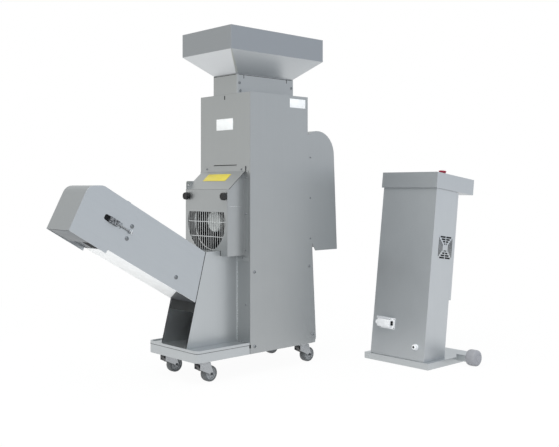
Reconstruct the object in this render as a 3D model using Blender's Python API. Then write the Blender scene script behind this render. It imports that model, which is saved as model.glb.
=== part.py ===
"""Almond peeling machine with its inclined discharge conveyor and its control stand.

Metres, +Z up. The machine is 0.41 m wide in X, its conveyor points to -Y and its
skin outlet to +Y. The whole set stands centred over the origin, on the floor.
"""

import math

import bmesh
import bpy
from mathutils import Matrix, Vector

# Sheet metal and fits
SHEET = 0.002
GAP = 0.0003
OVERRUN = 0.02
MERGE = 0.000001
BEND_STEPS = 4

# Tower
TOWER_WIDTH = 0.410
TOWER_DEPTH = 0.412
TOWER_FOOT_DEPTH = 0.477
TOWER_TOP = 1.445
LEAN_START = 1.252
PANEL_CORNER = 0.028

# Base on castors
BASE_UNDERSIDE = 0.111
BASE_TOP = 0.156
BASE_FRONT = 0.339
BASE_CORNER = 0.026
BASE_JOINT = 0.004
BASE_WALL = 0.0025
TRAY_HEIGHT = 0.014
TRAY_FLOOR = 0.009
TRAY_LIP = 0.010
BEARER_LENGTH = 0.095
BEARER_THICKNESS = 0.005

# Castors
WHEEL_RADIUS = 0.040
WHEEL_WIDTH = 0.040
CASTOR_TRAIL = 0.040
CASTOR_X = 0.145
CASTOR_FRONT_Y = -0.259
CASTOR_REAR_Y = 0.4235
FORK_SHEET = 0.0025
FORK_TOP = 0.0985
LEG_END = 0.010
LEG_DROP = 0.020
LEG_FLARE = 0.005
RACE_RADIUS = 0.033
AXLE_RADIUS = 0.005
PIN_RADIUS = 0.0035
PEDAL_LENGTH = 0.026
PEDAL_WIDTH = 0.030
PEDAL_PIN = (-0.010, 0.072)

# Hopper and its neck
NECK_WIDTH = 0.2025
NECK_DEPTH = 0.408
NECK_TOP = 1.547
NECK_CORNER = 0.012
ROOF_RIM = 0.010
RIM_WIDTH = 0.407
RIM_DEPTH = 0.658
RIM_FRONT = -0.125
RIM_BOTTOM = 1.649
RIM_TOP = 1.769
COLLAR_DEPTH = 0.016

# Peeling rollers and their drive
ROLLER_DROP = 0.175
ROLLER_HEIGHT = TOWER_TOP - ROLLER_DROP
ROLLER_RADIUS = 0.055
ROLLER_NIP = 0.002
ROLLER_FRONT = 0.132
ROLLER_LENGTH = 0.220
ROLLER_SHAFT = 0.0125
BEARING_PLATE = 0.006
BEARING_PLATE_HEIGHT = 0.126
GEAR_WIDTH = 0.012
GEAR_GAP = 0.004
TEETH_RIGHT = 20
TEETH_LEFT = 24
PRESSURE_ANGLE = math.radians(20)
TOOTH_BACKLASH_SHARE = 0.9
MOTOR_RADIUS = 0.042
MOTOR_LENGTH = 0.140
FLANGE_SHARE = 0.7
GEARBOX_SIDE = 0.090
GEARBOX_DEPTH = 0.074
CHUTE_INSET = 0.016

# Fan housing on the tower front
FAN_BOX_LEFT = -0.190
FAN_BOX_RIGHT = 0.158
ROOF_OVERHANG = 0.012
FAN_BOX_DEPTH = 0.112
FAN_BOX_BOTTOM = 0.6095
FAN_BOX_BEND = 0.9465
FAN_BOX_TOP = 1.041
FAN_FLANGE = 0.032
FAN_TOP_FLANGE = 0.026
EAR_TOP = 0.991
EAR_CORNER = 0.008
EAR_EYE_INSET = 0.0145
EAR_EYE_DROP = 0.021
FAN_X = -0.013
FAN_RISE = 0.171
FAN_HEIGHT = FAN_BOX_BOTTOM + FAN_RISE
FAN_OPENING = 0.155
FAN_OPENING_CUT = 0.0511
FAN_OPENING_TOP = FAN_HEIGHT + FAN_OPENING_CUT
HUB_RADIUS = 0.0555
HUB_SETBACK = 0.050
HUB_DEPTH = 0.040
BLADES = 5
BLADE_REACH = 0.142
KNOB_RADIUS = 0.0195
KNOB_LENGTH = 0.024
KNOB_DROP = 0.0345
KNOB_HEIGHT = FAN_BOX_BEND - KNOB_DROP
KNOB_SPREAD = 0.1565
STUD_RADIUS = 0.003
BAR_PITCH = 0.018
BAR_SIZE = 0.0028

# Conveyor
ARM_WIDTH = 0.207
ARM_ANGLE = math.radians(30)
ARM_TOP_Y = -0.209
ARM_TOP_Z = 0.635
ARM_HEIGHT = 0.2424
HOOD_CREST_Y = -0.784
HOOD_NOSE_Y = -0.860
HOOD_LIP_Y = -0.958
HOOD_LIP_Z = 0.771
HOOD_BEND = 0.050
COVER_SEAM_Y = -0.640
TAB_ALONG = 0.520
TAB_DROP = 0.018
BELT_WIDTH = 0.190
BELT_THICKNESS = 0.0025
HEAD_RADIUS = 0.035
TAIL_RADIUS = 0.077
IDLER_RADIUS = 0.020
HEAD_ALONG = 0.541
HEAD_DROP = 0.117
TAIL_ALONG = -0.240
IDLER_SETBACK = 0.011
IDLER_ALONG = HEAD_ALONG - IDLER_SETBACK
HEAD_SHAFT = 0.010
TAIL_SHAFT = 0.012
IDLER_SHAFT = 0.006
SLOT_LENGTH = 0.100
SLOT_WIDTH = 0.027
BLOCK_LENGTH = 0.052
ROD_RADIUS = 0.004
ROD_LENGTH = 0.085

# Lower housing that the conveyor stands in
HOUSING_FRONT = 0.325
HOUSING_TOP_FRONT = 0.2045
HOUSING_TOP = 0.635
ARM_GAP = 0.0035

# Exhaust hood
EXHAUST_ARC = 0.130
EXHAUST_CREST = 1.266
EXHAUST_REAR_TOP = 0.619
EXHAUST_REAR_FOOT = 0.644
EXHAUST_BOTTOM = 0.612
EXHAUST_CHAMFER = 0.022
OUTLET_BOTTOM = 0.740
OUTLET_TOP = 1.190

# Control stand
STAND_X = 0.5265
STAND_FRONT = 0.760
STAND_WIDTH = 0.436
STAND_DEPTH = 0.432
STAND_PLATE = 0.0345
STAND_LEAN = math.radians(7.3)
COLUMN_WIDTH = 0.365
COLUMN_DEPTH = 0.1845
COLUMN_SETBACK = 0.010
COLUMN_LENGTH = 0.927
DOOR_START = 0.333
DOOR_THICKNESS = 0.018
DESK_WIDTH = 0.379
DESK_LENGTH = 0.3448
DESK_HEIGHT = 0.0862
DESK_OVERHANG = 0.012
STOP_RADIUS = 0.020
STOP_HEIGHT = 0.026
STOP_TRAVEL = 0.006
STOP_INSET = 0.066
BUTTON_RADIUS = 0.011
VENT_SIDE = 0.123
VENT_UP = 0.615
VENT_BACK = 0.1146
VENT_ROWS = 6
PLUG_WIDTH = 0.140
PLUG_HEIGHT = 0.060
PLUG_DEPTH = 0.045
PLUG_SIDE = -0.093
PLUG_UP = 0.176
GLAND_RADIUS = 0.019
GLAND_SIDE = 0.125
GLAND_UP = 0.072
STAND_WHEEL_RADIUS = 0.0435
STAND_WHEEL_WIDTH = 0.062
STAND_WHEEL_OUT = 0.068
STAND_WHEEL_Y = 1.030
STAND_AXLE = 0.008
AXLE_BEAM = 0.026

HALF = TOWER_WIDTH / 2
PLACES = {}


def clear_scene():
    for thing in list(bpy.data.objects):
        bpy.data.objects.remove(thing, do_unlink=True)


def finish(name, colour, roughness, metallic):
    made = bpy.data.materials.get(name)
    if made:
        return made
    made = bpy.data.materials.new(name)
    made.use_nodes = True
    shader = made.node_tree.nodes["Principled BSDF"]
    shader.inputs["Base Color"].default_value = (*colour, 1)
    shader.inputs["Roughness"].default_value = roughness
    shader.inputs["Metallic"].default_value = metallic
    return made


def steel(name):
    return finish(name + "_steel", (0.60, 0.62, 0.64), 0.42, 1.0)


def zinc(name):
    return finish(name + "_zinc", (0.62, 0.63, 0.65), 0.35, 1.0)


def black(name):
    return finish(name + "_black", (0.02, 0.022, 0.024), 0.5, 0.0)


def white(name):
    return finish(name + "_white", (0.82, 0.83, 0.83), 0.5, 0.0)


def grey(name):
    return finish(name + "_grey", (0.34, 0.35, 0.37), 0.6, 0.0)


def red(name):
    return finish(name + "_red", (0.6, 0.02, 0.03), 0.4, 0.0)


def green(name):
    return finish(name + "_green", (0.03, 0.35, 0.08), 0.4, 0.0)


def block(low, high):
    """A box between two corners."""
    shape = bmesh.new()
    bmesh.ops.create_cube(shape, size=1)
    low, high = Vector(low), Vector(high)
    bmesh.ops.scale(shape, vec=high - low, verts=shape.verts)
    bmesh.ops.translate(shape, vec=(low + high) / 2, verts=shape.verts)
    return shape


def prism(outline, axis, low, high):
    """An outline pulled along an axis: (y, z) along x, (x, z) along y, (x, y) along z."""
    places = {
        "x": lambda a, b, c: (c, a, b),
        "y": lambda a, b, c: (a, c, b),
        "z": lambda a, b, c: (a, b, c),
    }
    place = places[axis]
    shape = bmesh.new()
    face = shape.faces.new([shape.verts.new(place(a, b, low)) for a, b in outline])
    pulled = bmesh.ops.extrude_face_region(shape, geom=[face])
    moved = [item for item in pulled["geom"] if isinstance(item, bmesh.types.BMVert)]
    bmesh.ops.translate(shape, vec=place(0, 0, high - low), verts=moved)
    bmesh.ops.recalc_face_normals(shape, faces=shape.faces)
    return shape


def turned(profile, axis, centre, sides):
    """A profile of (radius, along) spun about an axis through the centre."""
    across = {"x": Vector((0, 1, 0)), "y": Vector((0, 0, 1)), "z": Vector((1, 0, 0))}[axis]
    along = {"x": Vector((1, 0, 0)), "y": Vector((0, 1, 0)), "z": Vector((0, 0, 1))}[axis]
    shape = bmesh.new()
    points = [shape.verts.new(across * radius + along * far) for radius, far in profile]
    for first, second in zip(points, points[1:]):
        shape.edges.new((first, second))
    if profile[0][0] > 0:
        shape.edges.new((points[-1], points[0]))
    bmesh.ops.spin(
        shape,
        geom=list(shape.verts) + list(shape.edges),
        cent=(0, 0, 0),
        axis=along,
        angle=2 * math.pi,
        steps=sides,
        use_merge=True,
    )
    bmesh.ops.remove_doubles(shape, verts=shape.verts, dist=MERGE)
    bmesh.ops.recalc_face_normals(shape, faces=shape.faces)
    bmesh.ops.translate(shape, vec=centre, verts=shape.verts)
    return shape


def rod(radius, axis, centre, start, end, sides=16):
    """A plain round bar about a centre line, from start to end along the axis."""
    return turned([(0, start), (radius, start), (radius, end), (0, end)], axis, centre, sides)


def lofted(rings):
    """A sheet that joins closed rings of points, one after the other."""
    shape = bmesh.new()
    rows = [[shape.verts.new(point) for point in ring] for ring in rings]
    for lower, upper in zip(rows, rows[1:]):
        count = len(lower)
        for i in range(count):
            j = (i + 1) % count
            shape.faces.new((lower[i], lower[j], upper[j], upper[i]))
    bmesh.ops.recalc_face_normals(shape, faces=shape.faces)
    return shape


def together(*shapes):
    """Several shapes that stay apart, in one mesh."""
    whole = bmesh.new()
    for shape in shapes:
        mesh = bpy.data.meshes.new("part_of_whole")
        shape.to_mesh(mesh)
        whole.from_mesh(mesh)
        bpy.data.meshes.remove(mesh)
    return whole


def rounded(outline, radii, steps=BEND_STEPS):
    """The outline with an arc at each corner that has a radius."""
    made = []
    count = len(outline)
    for i, corner in enumerate(outline):
        radius = radii[i]
        here = Vector(corner)
        if not radius:
            made.append(tuple(here))
            continue
        back = (Vector(outline[i - 1]) - here).normalized()
        ahead = (Vector(outline[(i + 1) % count]) - here).normalized()
        half = back.angle(ahead) / 2
        centre = here + (back + ahead).normalized() * radius / math.sin(half)
        start = here + back * radius / math.tan(half) - centre
        end = here + ahead * radius / math.tan(half) - centre
        turn = start.angle_signed(end)
        for step in range(steps + 1):
            spot = start.copy()
            spot.rotate(Matrix.Rotation(-turn * step / steps, 2))
            made.append(tuple(centre + spot))
    return made


def arc(centre, radius, start, end, steps):
    """Points on an arc in a plane, angles in radians."""
    return [
        (
            centre[0] + radius * math.cos(start + (end - start) * step / steps),
            centre[1] + radius * math.sin(start + (end - start) * step / steps),
        )
        for step in range(steps + 1)
    ]


def rectangle(low_x, high_x, low_y, high_y):
    return [(low_x, low_y), (high_x, low_y), (high_x, high_y), (low_x, high_y)]


def ring_at(outline, height):
    return [(x, y, height) for x, y in outline]


def tilted(shape, angle, centre):
    """The shape turned about a line along x through the centre."""
    bmesh.ops.rotate(
        shape, cent=centre, matrix=Matrix.Rotation(angle, 3, "X"), verts=shape.verts
    )
    return shape


def machine_root():
    """An empty that carries the whole set and centres it over the origin."""
    low_x = -HALF
    high_x = STAND_X + STAND_WIDTH / 2 + STAND_WHEEL_OUT + STAND_WHEEL_WIDTH
    low_y = HOOD_LIP_Y
    rear = desk_place(DESK_LENGTH, 0)
    high_y = rear[0]
    root = bpy.data.objects.new("machine", None)
    bpy.context.scene.collection.objects.link(root)
    root.location = (-(low_x + high_x) / 2, -(low_y + high_y) / 2, 0)
    PLACES[root.name] = Vector((0, 0, 0))
    return root


def piece(name, shape, material, carrier, pivot=(0, 0, 0), smooth=False):
    """A named solid that hangs on its carrier, with its origin at the pivot."""
    pivot = Vector(pivot)
    mesh = bpy.data.meshes.new(name)
    bmesh.ops.translate(shape, vec=-pivot, verts=shape.verts)
    shape.to_mesh(mesh)
    shape.free()
    mesh.materials.append(material)
    if smooth:
        mesh.shade_smooth()
        mesh.set_sharp_from_angle(angle=math.radians(35))
    made = bpy.data.objects.new(name, mesh)
    bpy.context.scene.collection.objects.link(made)
    made.parent = carrier
    made.location = pivot - PLACES[carrier.name]
    PLACES[name] = pivot
    return made


def tool(target, shape, operation, name):
    """A hidden shape that is cut from the target or joined to it."""
    mesh = bpy.data.meshes.new(name)
    bmesh.ops.translate(shape, vec=-PLACES[target.name], verts=shape.verts)
    shape.to_mesh(mesh)
    shape.free()
    helper = bpy.data.objects.new(f"{target.name}_{name}", mesh)
    bpy.context.scene.collection.objects.link(helper)
    helper.parent = target
    helper.hide_render = True
    helper.display_type = "WIRE"
    made = target.modifiers.new(name, "BOOLEAN")
    made.operation = operation
    made.solver = "EXACT"
    made.object = helper


def cut(target, shape, name):
    tool(target, shape, "DIFFERENCE", name)


def join(target, shape, name):
    tool(target, shape, "UNION", name)


def sheet_metal(target, thickness=SHEET):
    """Gives an open sheet its thickness, inwards from the face that shows."""
    made = target.modifiers.new("sheet", "SOLIDIFY")
    made.thickness = thickness
    made.offset = -1
    made.use_even_offset = True


# Places on the tilted conveyor and the leaning stand


def arm_place(along, drop):
    """(y, z) at a distance up the conveyor from its lower end, and below its top line."""
    cos, sin = math.cos(ARM_ANGLE), math.sin(ARM_ANGLE)
    return (ARM_TOP_Y - along * cos - drop * sin, ARM_TOP_Z + along * sin - drop * cos)


def arm_line(y):
    """Height of the conveyor's top line at y."""
    return ARM_TOP_Z + (ARM_TOP_Y - y) * math.tan(ARM_ANGLE)


def column_place(back, up):
    """(y, z) from the front foot of the leaning column: back into it, and up along it."""
    cos, sin = math.cos(STAND_LEAN), math.sin(STAND_LEAN)
    foot_y = STAND_FRONT + COLUMN_SETBACK
    return (foot_y + back * cos + up * sin, STAND_PLATE + GAP - back * sin + up * cos)


def desk_place(back, down):
    """(y, z) from the top front edge of the desk: back along its top, and down into it."""
    return column_place(back - DESK_OVERHANG, COLUMN_LENGTH + GAP + DESK_HEIGHT - down)


def rear_edge(height):
    """Y of the tower's rear edge, which leans out below LEAN_START."""
    if height >= LEAN_START:
        return TOWER_DEPTH
    share = (LEAN_START - height) / (LEAN_START - BASE_UNDERSIDE)
    return TOWER_DEPTH + (TOWER_FOOT_DEPTH - TOWER_DEPTH) * share


# Base, tray and castors


def base_plan(inset, rear):
    """Plan of the base and its tray, with rounded front corners."""
    corners = rectangle(-HALF + inset, HALF - inset, -BASE_FRONT + inset, rear)
    return rounded(corners, [BASE_CORNER - inset, BASE_CORNER - inset, 0, 0])


def base(root):
    inner = HALF - SHEET - GAP
    rear = rear_edge(BASE_TOP) - SHEET - GAP
    outline = [
        (-HALF, -BASE_FRONT),
        (HALF, -BASE_FRONT),
        (HALF, -BASE_JOINT),
        (inner, -BASE_JOINT),
        (inner, rear),
        (-inner, rear),
        (-inner, -BASE_JOINT),
        (-HALF, -BASE_JOINT),
    ]
    outline = rounded(outline, [BASE_CORNER] * 2 + [0] * 6)
    frame = piece("base_frame", prism(outline, "z", BASE_UNDERSIDE, BASE_TOP), steel("base"), root)
    plan = base_plan(HALF - inner + BASE_WALL, rear - BASE_WALL)
    hollow = prism(plan, "z", BASE_UNDERSIDE - OVERRUN, BASE_TOP - BASE_WALL)
    cut(frame, hollow, "hollow")
    plate = PIN_RADIUS
    bearers = []
    for y in (CASTOR_FRONT_Y, CASTOR_REAR_Y):
        bearers.append(
            block(
                (-inner + BASE_WALL / 2, y - BEARER_LENGTH / 2, BASE_UNDERSIDE),
                (inner - BASE_WALL / 2, y + BEARER_LENGTH / 2, BASE_UNDERSIDE + BEARER_THICKNESS),
            )
        )
    join(frame, together(*bearers), "castor_bearers")
    plates = []
    for y in (CASTOR_FRONT_Y, CASTOR_REAR_Y):
        for x in (-CASTOR_X, CASTOR_X):
            plates.append(
                block(
                    (x - RACE_RADIUS - AXLE_RADIUS, y - RACE_RADIUS - AXLE_RADIUS, BASE_UNDERSIDE - plate),
                    (x + RACE_RADIUS + AXLE_RADIUS, y + RACE_RADIUS + AXLE_RADIUS, BASE_UNDERSIDE + SHEET),
                )
            )
    join(frame, together(*plates), "castor_plates")

    low = BASE_TOP + GAP
    tray = piece(
        "base_tray",
        prism(base_plan(0, -BASE_JOINT), "z", low, low + TRAY_HEIGHT),
        steel("tray"),
        root,
    )
    cut(
        tray,
        prism(base_plan(TRAY_LIP, OVERRUN), "z", low + TRAY_FLOOR, low + TRAY_HEIGHT + OVERRUN),
        "floor",
    )
    cut(
        tray,
        prism(base_plan(SHEET, -BASE_JOINT - SHEET), "z", low - OVERRUN, low + TRAY_FLOOR - SHEET),
        "underside",
    )


def castor(name, x, y, root):
    """A swivel castor: pressed fork, solid wheel and brake pedal."""
    plate = PIN_RADIUS
    axle_y = y + CASTOR_TRAIL
    inside = WHEEL_WIDTH / 2 + FORK_SHEET
    nose = y - RACE_RADIUS + FORK_SHEET
    legs_outline = [
        (nose, FORK_TOP),
        (y + RACE_RADIUS, FORK_TOP),
        (y + RACE_RADIUS + LEG_FLARE, FORK_TOP - LEG_DROP),
        (axle_y + LEG_END, WHEEL_RADIUS),
        *arc((axle_y, WHEEL_RADIUS), LEG_END, 0, -math.pi, BEND_STEPS * 2)[1:],
        (nose, FORK_TOP - LEG_DROP - LEG_END),
    ]
    fork = piece(
        f"castor_fork_{name}",
        prism(legs_outline, "x", x - inside - FORK_SHEET, x + inside + FORK_SHEET),
        zinc("castor"),
        root,
        (x, y, FORK_TOP),
    )
    cut(
        fork,
        block(
            (x - inside, y - 2 * RACE_RADIUS, -OVERRUN),
            (x + inside, axle_y + WHEEL_RADIUS, FORK_TOP - FORK_SHEET),
        ),
        "between_legs",
    )
    race = turned(
        [
            (0, FORK_TOP - FORK_SHEET),
            (RACE_RADIUS - FORK_SHEET, FORK_TOP - FORK_SHEET),
            (RACE_RADIUS, FORK_TOP),
            (RACE_RADIUS, BASE_UNDERSIDE - plate - FORK_SHEET),
            (RACE_RADIUS - FORK_SHEET, BASE_UNDERSIDE - plate - GAP),
            (0, BASE_UNDERSIDE - plate - GAP),
        ],
        "z",
        (x, y, 0),
        16,
    )
    join(fork, race, "race")
    reach = inside + FORK_SHEET
    pins = together(
        rod(AXLE_RADIUS, "x", (x, axle_y, WHEEL_RADIUS), -reach - FORK_SHEET, reach + FORK_SHEET, 10),
        rod(PIN_RADIUS, "x", (x, *pedal_pin(y)), -reach - SHEET / 2, reach + SHEET / 2, 8),
    )
    join(fork, pins, "pins")

    half = WHEEL_WIDTH / 2
    rim = WHEEL_RADIUS * 0.74
    hub = WHEEL_RADIUS * 0.3
    dish = WHEEL_WIDTH * 0.2
    soft = WHEEL_WIDTH * 0.12
    bore = AXLE_RADIUS + GAP
    proud = half + FORK_SHEET / 2
    profile = [
        (bore, -proud),
        (hub, -proud),
        (hub, -half + dish),
        (rim, -half),
        (WHEEL_RADIUS - soft, -half),
        (WHEEL_RADIUS, -half + soft),
        (WHEEL_RADIUS, half - soft),
        (WHEEL_RADIUS - soft, half),
        (rim, half),
        (hub, half - dish),
        (hub, proud),
        (bore, proud),
    ]
    piece(
        f"castor_wheel_{name}",
        turned(profile, "x", (x, axle_y, WHEEL_RADIUS), 24),
        grey("castor"),
        fork,
        (x, axle_y, WHEEL_RADIUS),
        smooth=True,
    )

    pin_y, pin_z = pedal_pin(y)
    boss = PIN_RADIUS * 2
    wedge = boss * 2
    tip = pin_y - PEDAL_LENGTH
    pedal_outline = [
        (pin_y + boss, pin_z + boss),
        (pin_y + boss, pin_z - boss),
        (pin_y - boss / 2, pin_z - wedge),
        (tip, pin_z + wedge),
        (tip, pin_z + wedge + boss),
        (pin_y - boss, pin_z + boss),
    ]
    pedal = piece(
        f"castor_pedal_{name}",
        prism(pedal_outline, "x", x - PEDAL_WIDTH / 2, x + PEDAL_WIDTH / 2),
        black("pedal"),
        fork,
        (x, pin_y, pin_z),
    )
    cut(
        pedal,
        rod(PIN_RADIUS + GAP, "x", (x, pin_y, pin_z), -inside - OVERRUN, inside + OVERRUN, 10),
        "pin_hole",
    )


def pedal_pin(y):
    """(y, z) of the pin that the brake pedal turns on."""
    return (y + PEDAL_PIN[0], PEDAL_PIN[1])


# Tower panels


def tower(root):
    foot = BASE_UNDERSIDE
    outline = rounded(
        [
            (0, foot),
            (0, TOWER_TOP),
            (TOWER_DEPTH, TOWER_TOP),
            (TOWER_DEPTH, LEAN_START),
            (rear_edge(foot), foot),
        ],
        [0, 0, 0, 0, PANEL_CORNER],
    )
    piece("side_panel_right", prism(outline, "x", HALF - SHEET, HALF), steel("panel"), root)
    piece("side_panel_left", prism(outline, "x", -HALF, -HALF + SHEET), steel("panel"), root)

    inner = HALF - SHEET - GAP
    low = BASE_TOP + GAP
    front = piece(
        "front_panel", block((-inner, 0, low), (inner, SHEET, TOWER_TOP)), steel("front"), root
    )
    passage = ARM_WIDTH / 2 - 2 * SHEET - TRAY_FLOOR / 2
    slit = SHEET
    slit_height = FAN_BOX_TOP + FAN_FLANGE
    openings = together(
        rod(BLADE_REACH + SHEET, "y", (FAN_X, 0, FAN_HEIGHT), -OVERRUN, OVERRUN, 36),
        block(
            (-passage, -OVERRUN, low + OVERRUN * 2),
            (passage, OVERRUN, FAN_BOX_BOTTOM - OVERRUN * 2),
        ),
        block(
            (-ARM_WIDTH / 2 + 6 * SHEET, -OVERRUN, slit_height - slit),
            (ARM_WIDTH / 2 - 3 * SHEET, OVERRUN, slit_height + slit),
        ),
    )
    cut(front, openings, "openings")

    band = [
        (TOWER_DEPTH - SHEET, TOWER_TOP),
        (TOWER_DEPTH, TOWER_TOP),
        (TOWER_DEPTH, LEAN_START),
        (rear_edge(low), low),
        (rear_edge(low) - SHEET, low),
        (TOWER_DEPTH - SHEET, LEAN_START),
    ]
    rear = piece("rear_panel", prism(band, "x", -inner, inner), steel("rear"), root)
    margin = OVERRUN * 2
    cut(
        rear,
        block(
            (-inner + margin, 0, OUTLET_BOTTOM),
            (inner - margin, TOWER_FOOT_DEPTH + OVERRUN, OUTLET_TOP),
        ),
        "outlet",
    )


def neck_and_hopper(root):
    inner = HALF - SHEET - GAP
    half = NECK_WIDTH / 2
    low = TOWER_TOP - SHEET
    rear = TOWER_DEPTH - SHEET - GAP
    roof = piece(
        "hopper_neck", block((-inner, SHEET + GAP, low), (inner, rear, TOWER_TOP)), steel("neck"), root
    )
    corners = rounded(rectangle(-half, half, 0, NECK_DEPTH), [NECK_CORNER] * 4)
    hole = rounded(
        rectangle(-half + SHEET, half - SHEET, SHEET, NECK_DEPTH - SHEET),
        [NECK_CORNER - SHEET] * 4,
    )
    join(roof, prism(corners, "z", TOWER_TOP + GAP, NECK_TOP), "neck_walls")
    seat = block(
        (-half + SHEET, 2 * SHEET, low),
        (half - SHEET, NECK_DEPTH - SHEET, TOWER_TOP + SHEET),
    )
    join(roof, seat, "neck_seat")
    cut(roof, prism(hole, "z", TOWER_TOP + 2 * GAP, NECK_TOP + OVERRUN), "neck_hollow")
    rim = ROOF_RIM
    cut(
        roof,
        block(
            (-half + SHEET + rim, SHEET + rim, low - OVERRUN),
            (half - SHEET - rim, NECK_DEPTH - SHEET - rim, TOWER_TOP + OVERRUN),
        ),
        "roof_opening",
    )

    fit = half - SHEET - GAP
    fit_front = SHEET + GAP
    fit_rear = NECK_DEPTH - SHEET - GAP
    small = NECK_CORNER - SHEET - GAP
    rim_outline = rounded(
        rectangle(-RIM_WIDTH / 2, RIM_WIDTH / 2, RIM_FRONT, RIM_FRONT + RIM_DEPTH),
        [SHEET] * 4,
        1,
    )
    collar = rounded(rectangle(-fit, fit, fit_front, fit_rear), [small] * 4, 1)
    rings = [
        ring_at(rim_outline, RIM_TOP),
        ring_at(rim_outline, RIM_BOTTOM),
        ring_at(collar, NECK_TOP),
        ring_at(collar, NECK_TOP - COLLAR_DEPTH),
    ]
    hopper = piece("hopper", lofted(rings), steel("hopper"), root)
    sheet_metal(hopper)


# Peeling head inside the tower


def gear_outline(teeth, module, centre, turn):
    """Involute teeth about a centre, each flank three points long."""
    pitch = teeth * module / 2
    base_radius = pitch * math.cos(PRESSURE_ANGLE)
    tip = pitch + module * TOOTH_BACKLASH_SHARE
    root = pitch - module * 1.15
    involute = math.tan(PRESSURE_ANGLE) - PRESSURE_ANGLE

    def half_angle(radius):
        angle = math.acos(min(1, base_radius / radius))
        width = math.pi / (2 * teeth) * TOOTH_BACKLASH_SHARE
        return width + involute - (math.tan(angle) - angle)

    flank = [(root, half_angle(base_radius)), (pitch, half_angle(pitch)), (tip, half_angle(tip))]
    points = []
    for tooth in range(teeth):
        middle = turn + 2 * math.pi * tooth / teeth
        both = [(radius, middle - angle) for radius, angle in flank]
        both += [(radius, middle + angle) for radius, angle in reversed(flank)]
        for radius, angle in both:
            points.append((centre[0] + radius * math.cos(angle), centre[1] + radius * math.sin(angle)))
    return points


def peeling_head(root):
    spread = ROLLER_RADIUS + ROLLER_NIP / 2
    module = 4 * spread / (TEETH_RIGHT + TEETH_LEFT)
    gear_rear = ROLLER_FRONT - GEAR_GAP - SHEET
    gear_front = gear_rear - GEAR_WIDTH
    plate_rear = gear_front - GEAR_GAP
    rubber_rear = ROLLER_FRONT + ROLLER_LENGTH
    rear_plate = rubber_rear + GEAR_GAP
    inner = HALF - SHEET - 2 * GAP
    low = ROLLER_HEIGHT - BEARING_PLATE_HEIGHT / 2 - SHEET
    high = low + BEARING_PLATE_HEIGHT
    for name, start in (("front", plate_rear - BEARING_PLATE), ("rear", rear_plate)):
        plate = piece(
            f"bearing_plate_{name}",
            block((-inner, start, low), (inner, start + BEARING_PLATE, high)),
            steel("bearing"),
            root,
        )
        bores = [
            rod(ROLLER_SHAFT + GAP, "y", (x, start, ROLLER_HEIGHT), -OVERRUN, OVERRUN, 20)
            for x in (-spread, spread)
        ]
        cut(plate, together(*bores), "shaft_bores")

    front_end = {"left": plate_rear - 2 * BEARING_PLATE, "right": plate_rear - GEARBOX_DEPTH / 2}
    rear_end = rear_plate + 2 * BEARING_PLATE
    teeth = {"left": TEETH_LEFT, "right": TEETH_RIGHT}
    for side, x, turn in (
        ("left", -spread, math.pi / TEETH_LEFT),
        ("right", spread, math.pi),
    ):
        centre = (x, 0, ROLLER_HEIGHT)
        profile = [
            (0, front_end[side]),
            (ROLLER_SHAFT, front_end[side]),
            (ROLLER_SHAFT, ROLLER_FRONT),
            (ROLLER_RADIUS, ROLLER_FRONT),
            (ROLLER_RADIUS, rubber_rear),
            (ROLLER_SHAFT, rubber_rear),
            (ROLLER_SHAFT, rear_end),
            (0, rear_end),
        ]
        roller = piece(
            f"peeling_roller_{side}",
            turned(profile, "y", centre, 28),
            black("roller"),
            root,
            centre,
            smooth=True,
        )
        outline = gear_outline(teeth[side], module, (x, ROLLER_HEIGHT), turn)
        join(roller, prism(outline, "y", gear_front, gear_rear), "gear")

    box_rear = plate_rear - BEARING_PLATE - GEAR_GAP
    box_front = box_rear - GEARBOX_DEPTH
    side = GEARBOX_SIDE / 2
    motor = piece(
        "drive_motor",
        block(
            (spread - side, box_front, ROLLER_HEIGHT - side),
            (spread + side, box_rear, ROLLER_HEIGHT + side),
        ),
        grey("motor"),
        root,
    )
    flange = rod(
        side * FLANGE_SHARE,
        "y",
        (spread, 0, ROLLER_HEIGHT),
        box_rear - SHEET,
        box_rear + GEAR_GAP - GAP,
        24,
    )
    join(motor, flange, "flange")
    middle = (box_front + box_rear) / 2 - SHEET
    barrel = turned(
        [
            (0, ROLLER_HEIGHT - side - MOTOR_LENGTH),
            (MOTOR_RADIUS - 2 * SHEET, ROLLER_HEIGHT - side - MOTOR_LENGTH),
            (MOTOR_RADIUS - SHEET, ROLLER_HEIGHT - side - MOTOR_LENGTH + 2 * SHEET),
            (MOTOR_RADIUS - SHEET, ROLLER_HEIGHT - side + SHEET),
            (0, ROLLER_HEIGHT - side + SHEET),
        ],
        "z",
        (spread, middle, 0),
        24,
    )
    join(motor, barrel, "barrel")
    bore = rod(
        ROLLER_SHAFT + GAP,
        "y",
        (spread, 0, ROLLER_HEIGHT),
        front_end["right"] - 2 * SHEET,
        box_rear + OVERRUN,
        20,
    )
    cut(motor, bore, "hollow_shaft")

    half = NECK_WIDTH / 2 - SHEET - ROOF_RIM - GAP
    nip = ROLLER_RADIUS / 3
    clear = 4 * SHEET
    front = SHEET + ROOF_RIM + GAP
    rear = NECK_DEPTH - SHEET - ROOF_RIM - GAP
    top = rectangle(-half, half, front, rear)
    bottom = rectangle(-nip, nip, ROLLER_FRONT + CHUTE_INSET, rubber_rear - CHUTE_INSET)
    drop = ROLLER_HEIGHT + math.sqrt(ROLLER_RADIUS**2 - (spread - nip) ** 2) + clear / 2
    rings = [
        ring_at(top, TOWER_TOP),
        ring_at(top, TOWER_TOP - clear),
        ring_at(bottom, drop),
    ]
    chute = piece("feed_chute", lofted(rings), steel("chute"), root)
    sheet_metal(chute, SHEET / 2)


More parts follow.
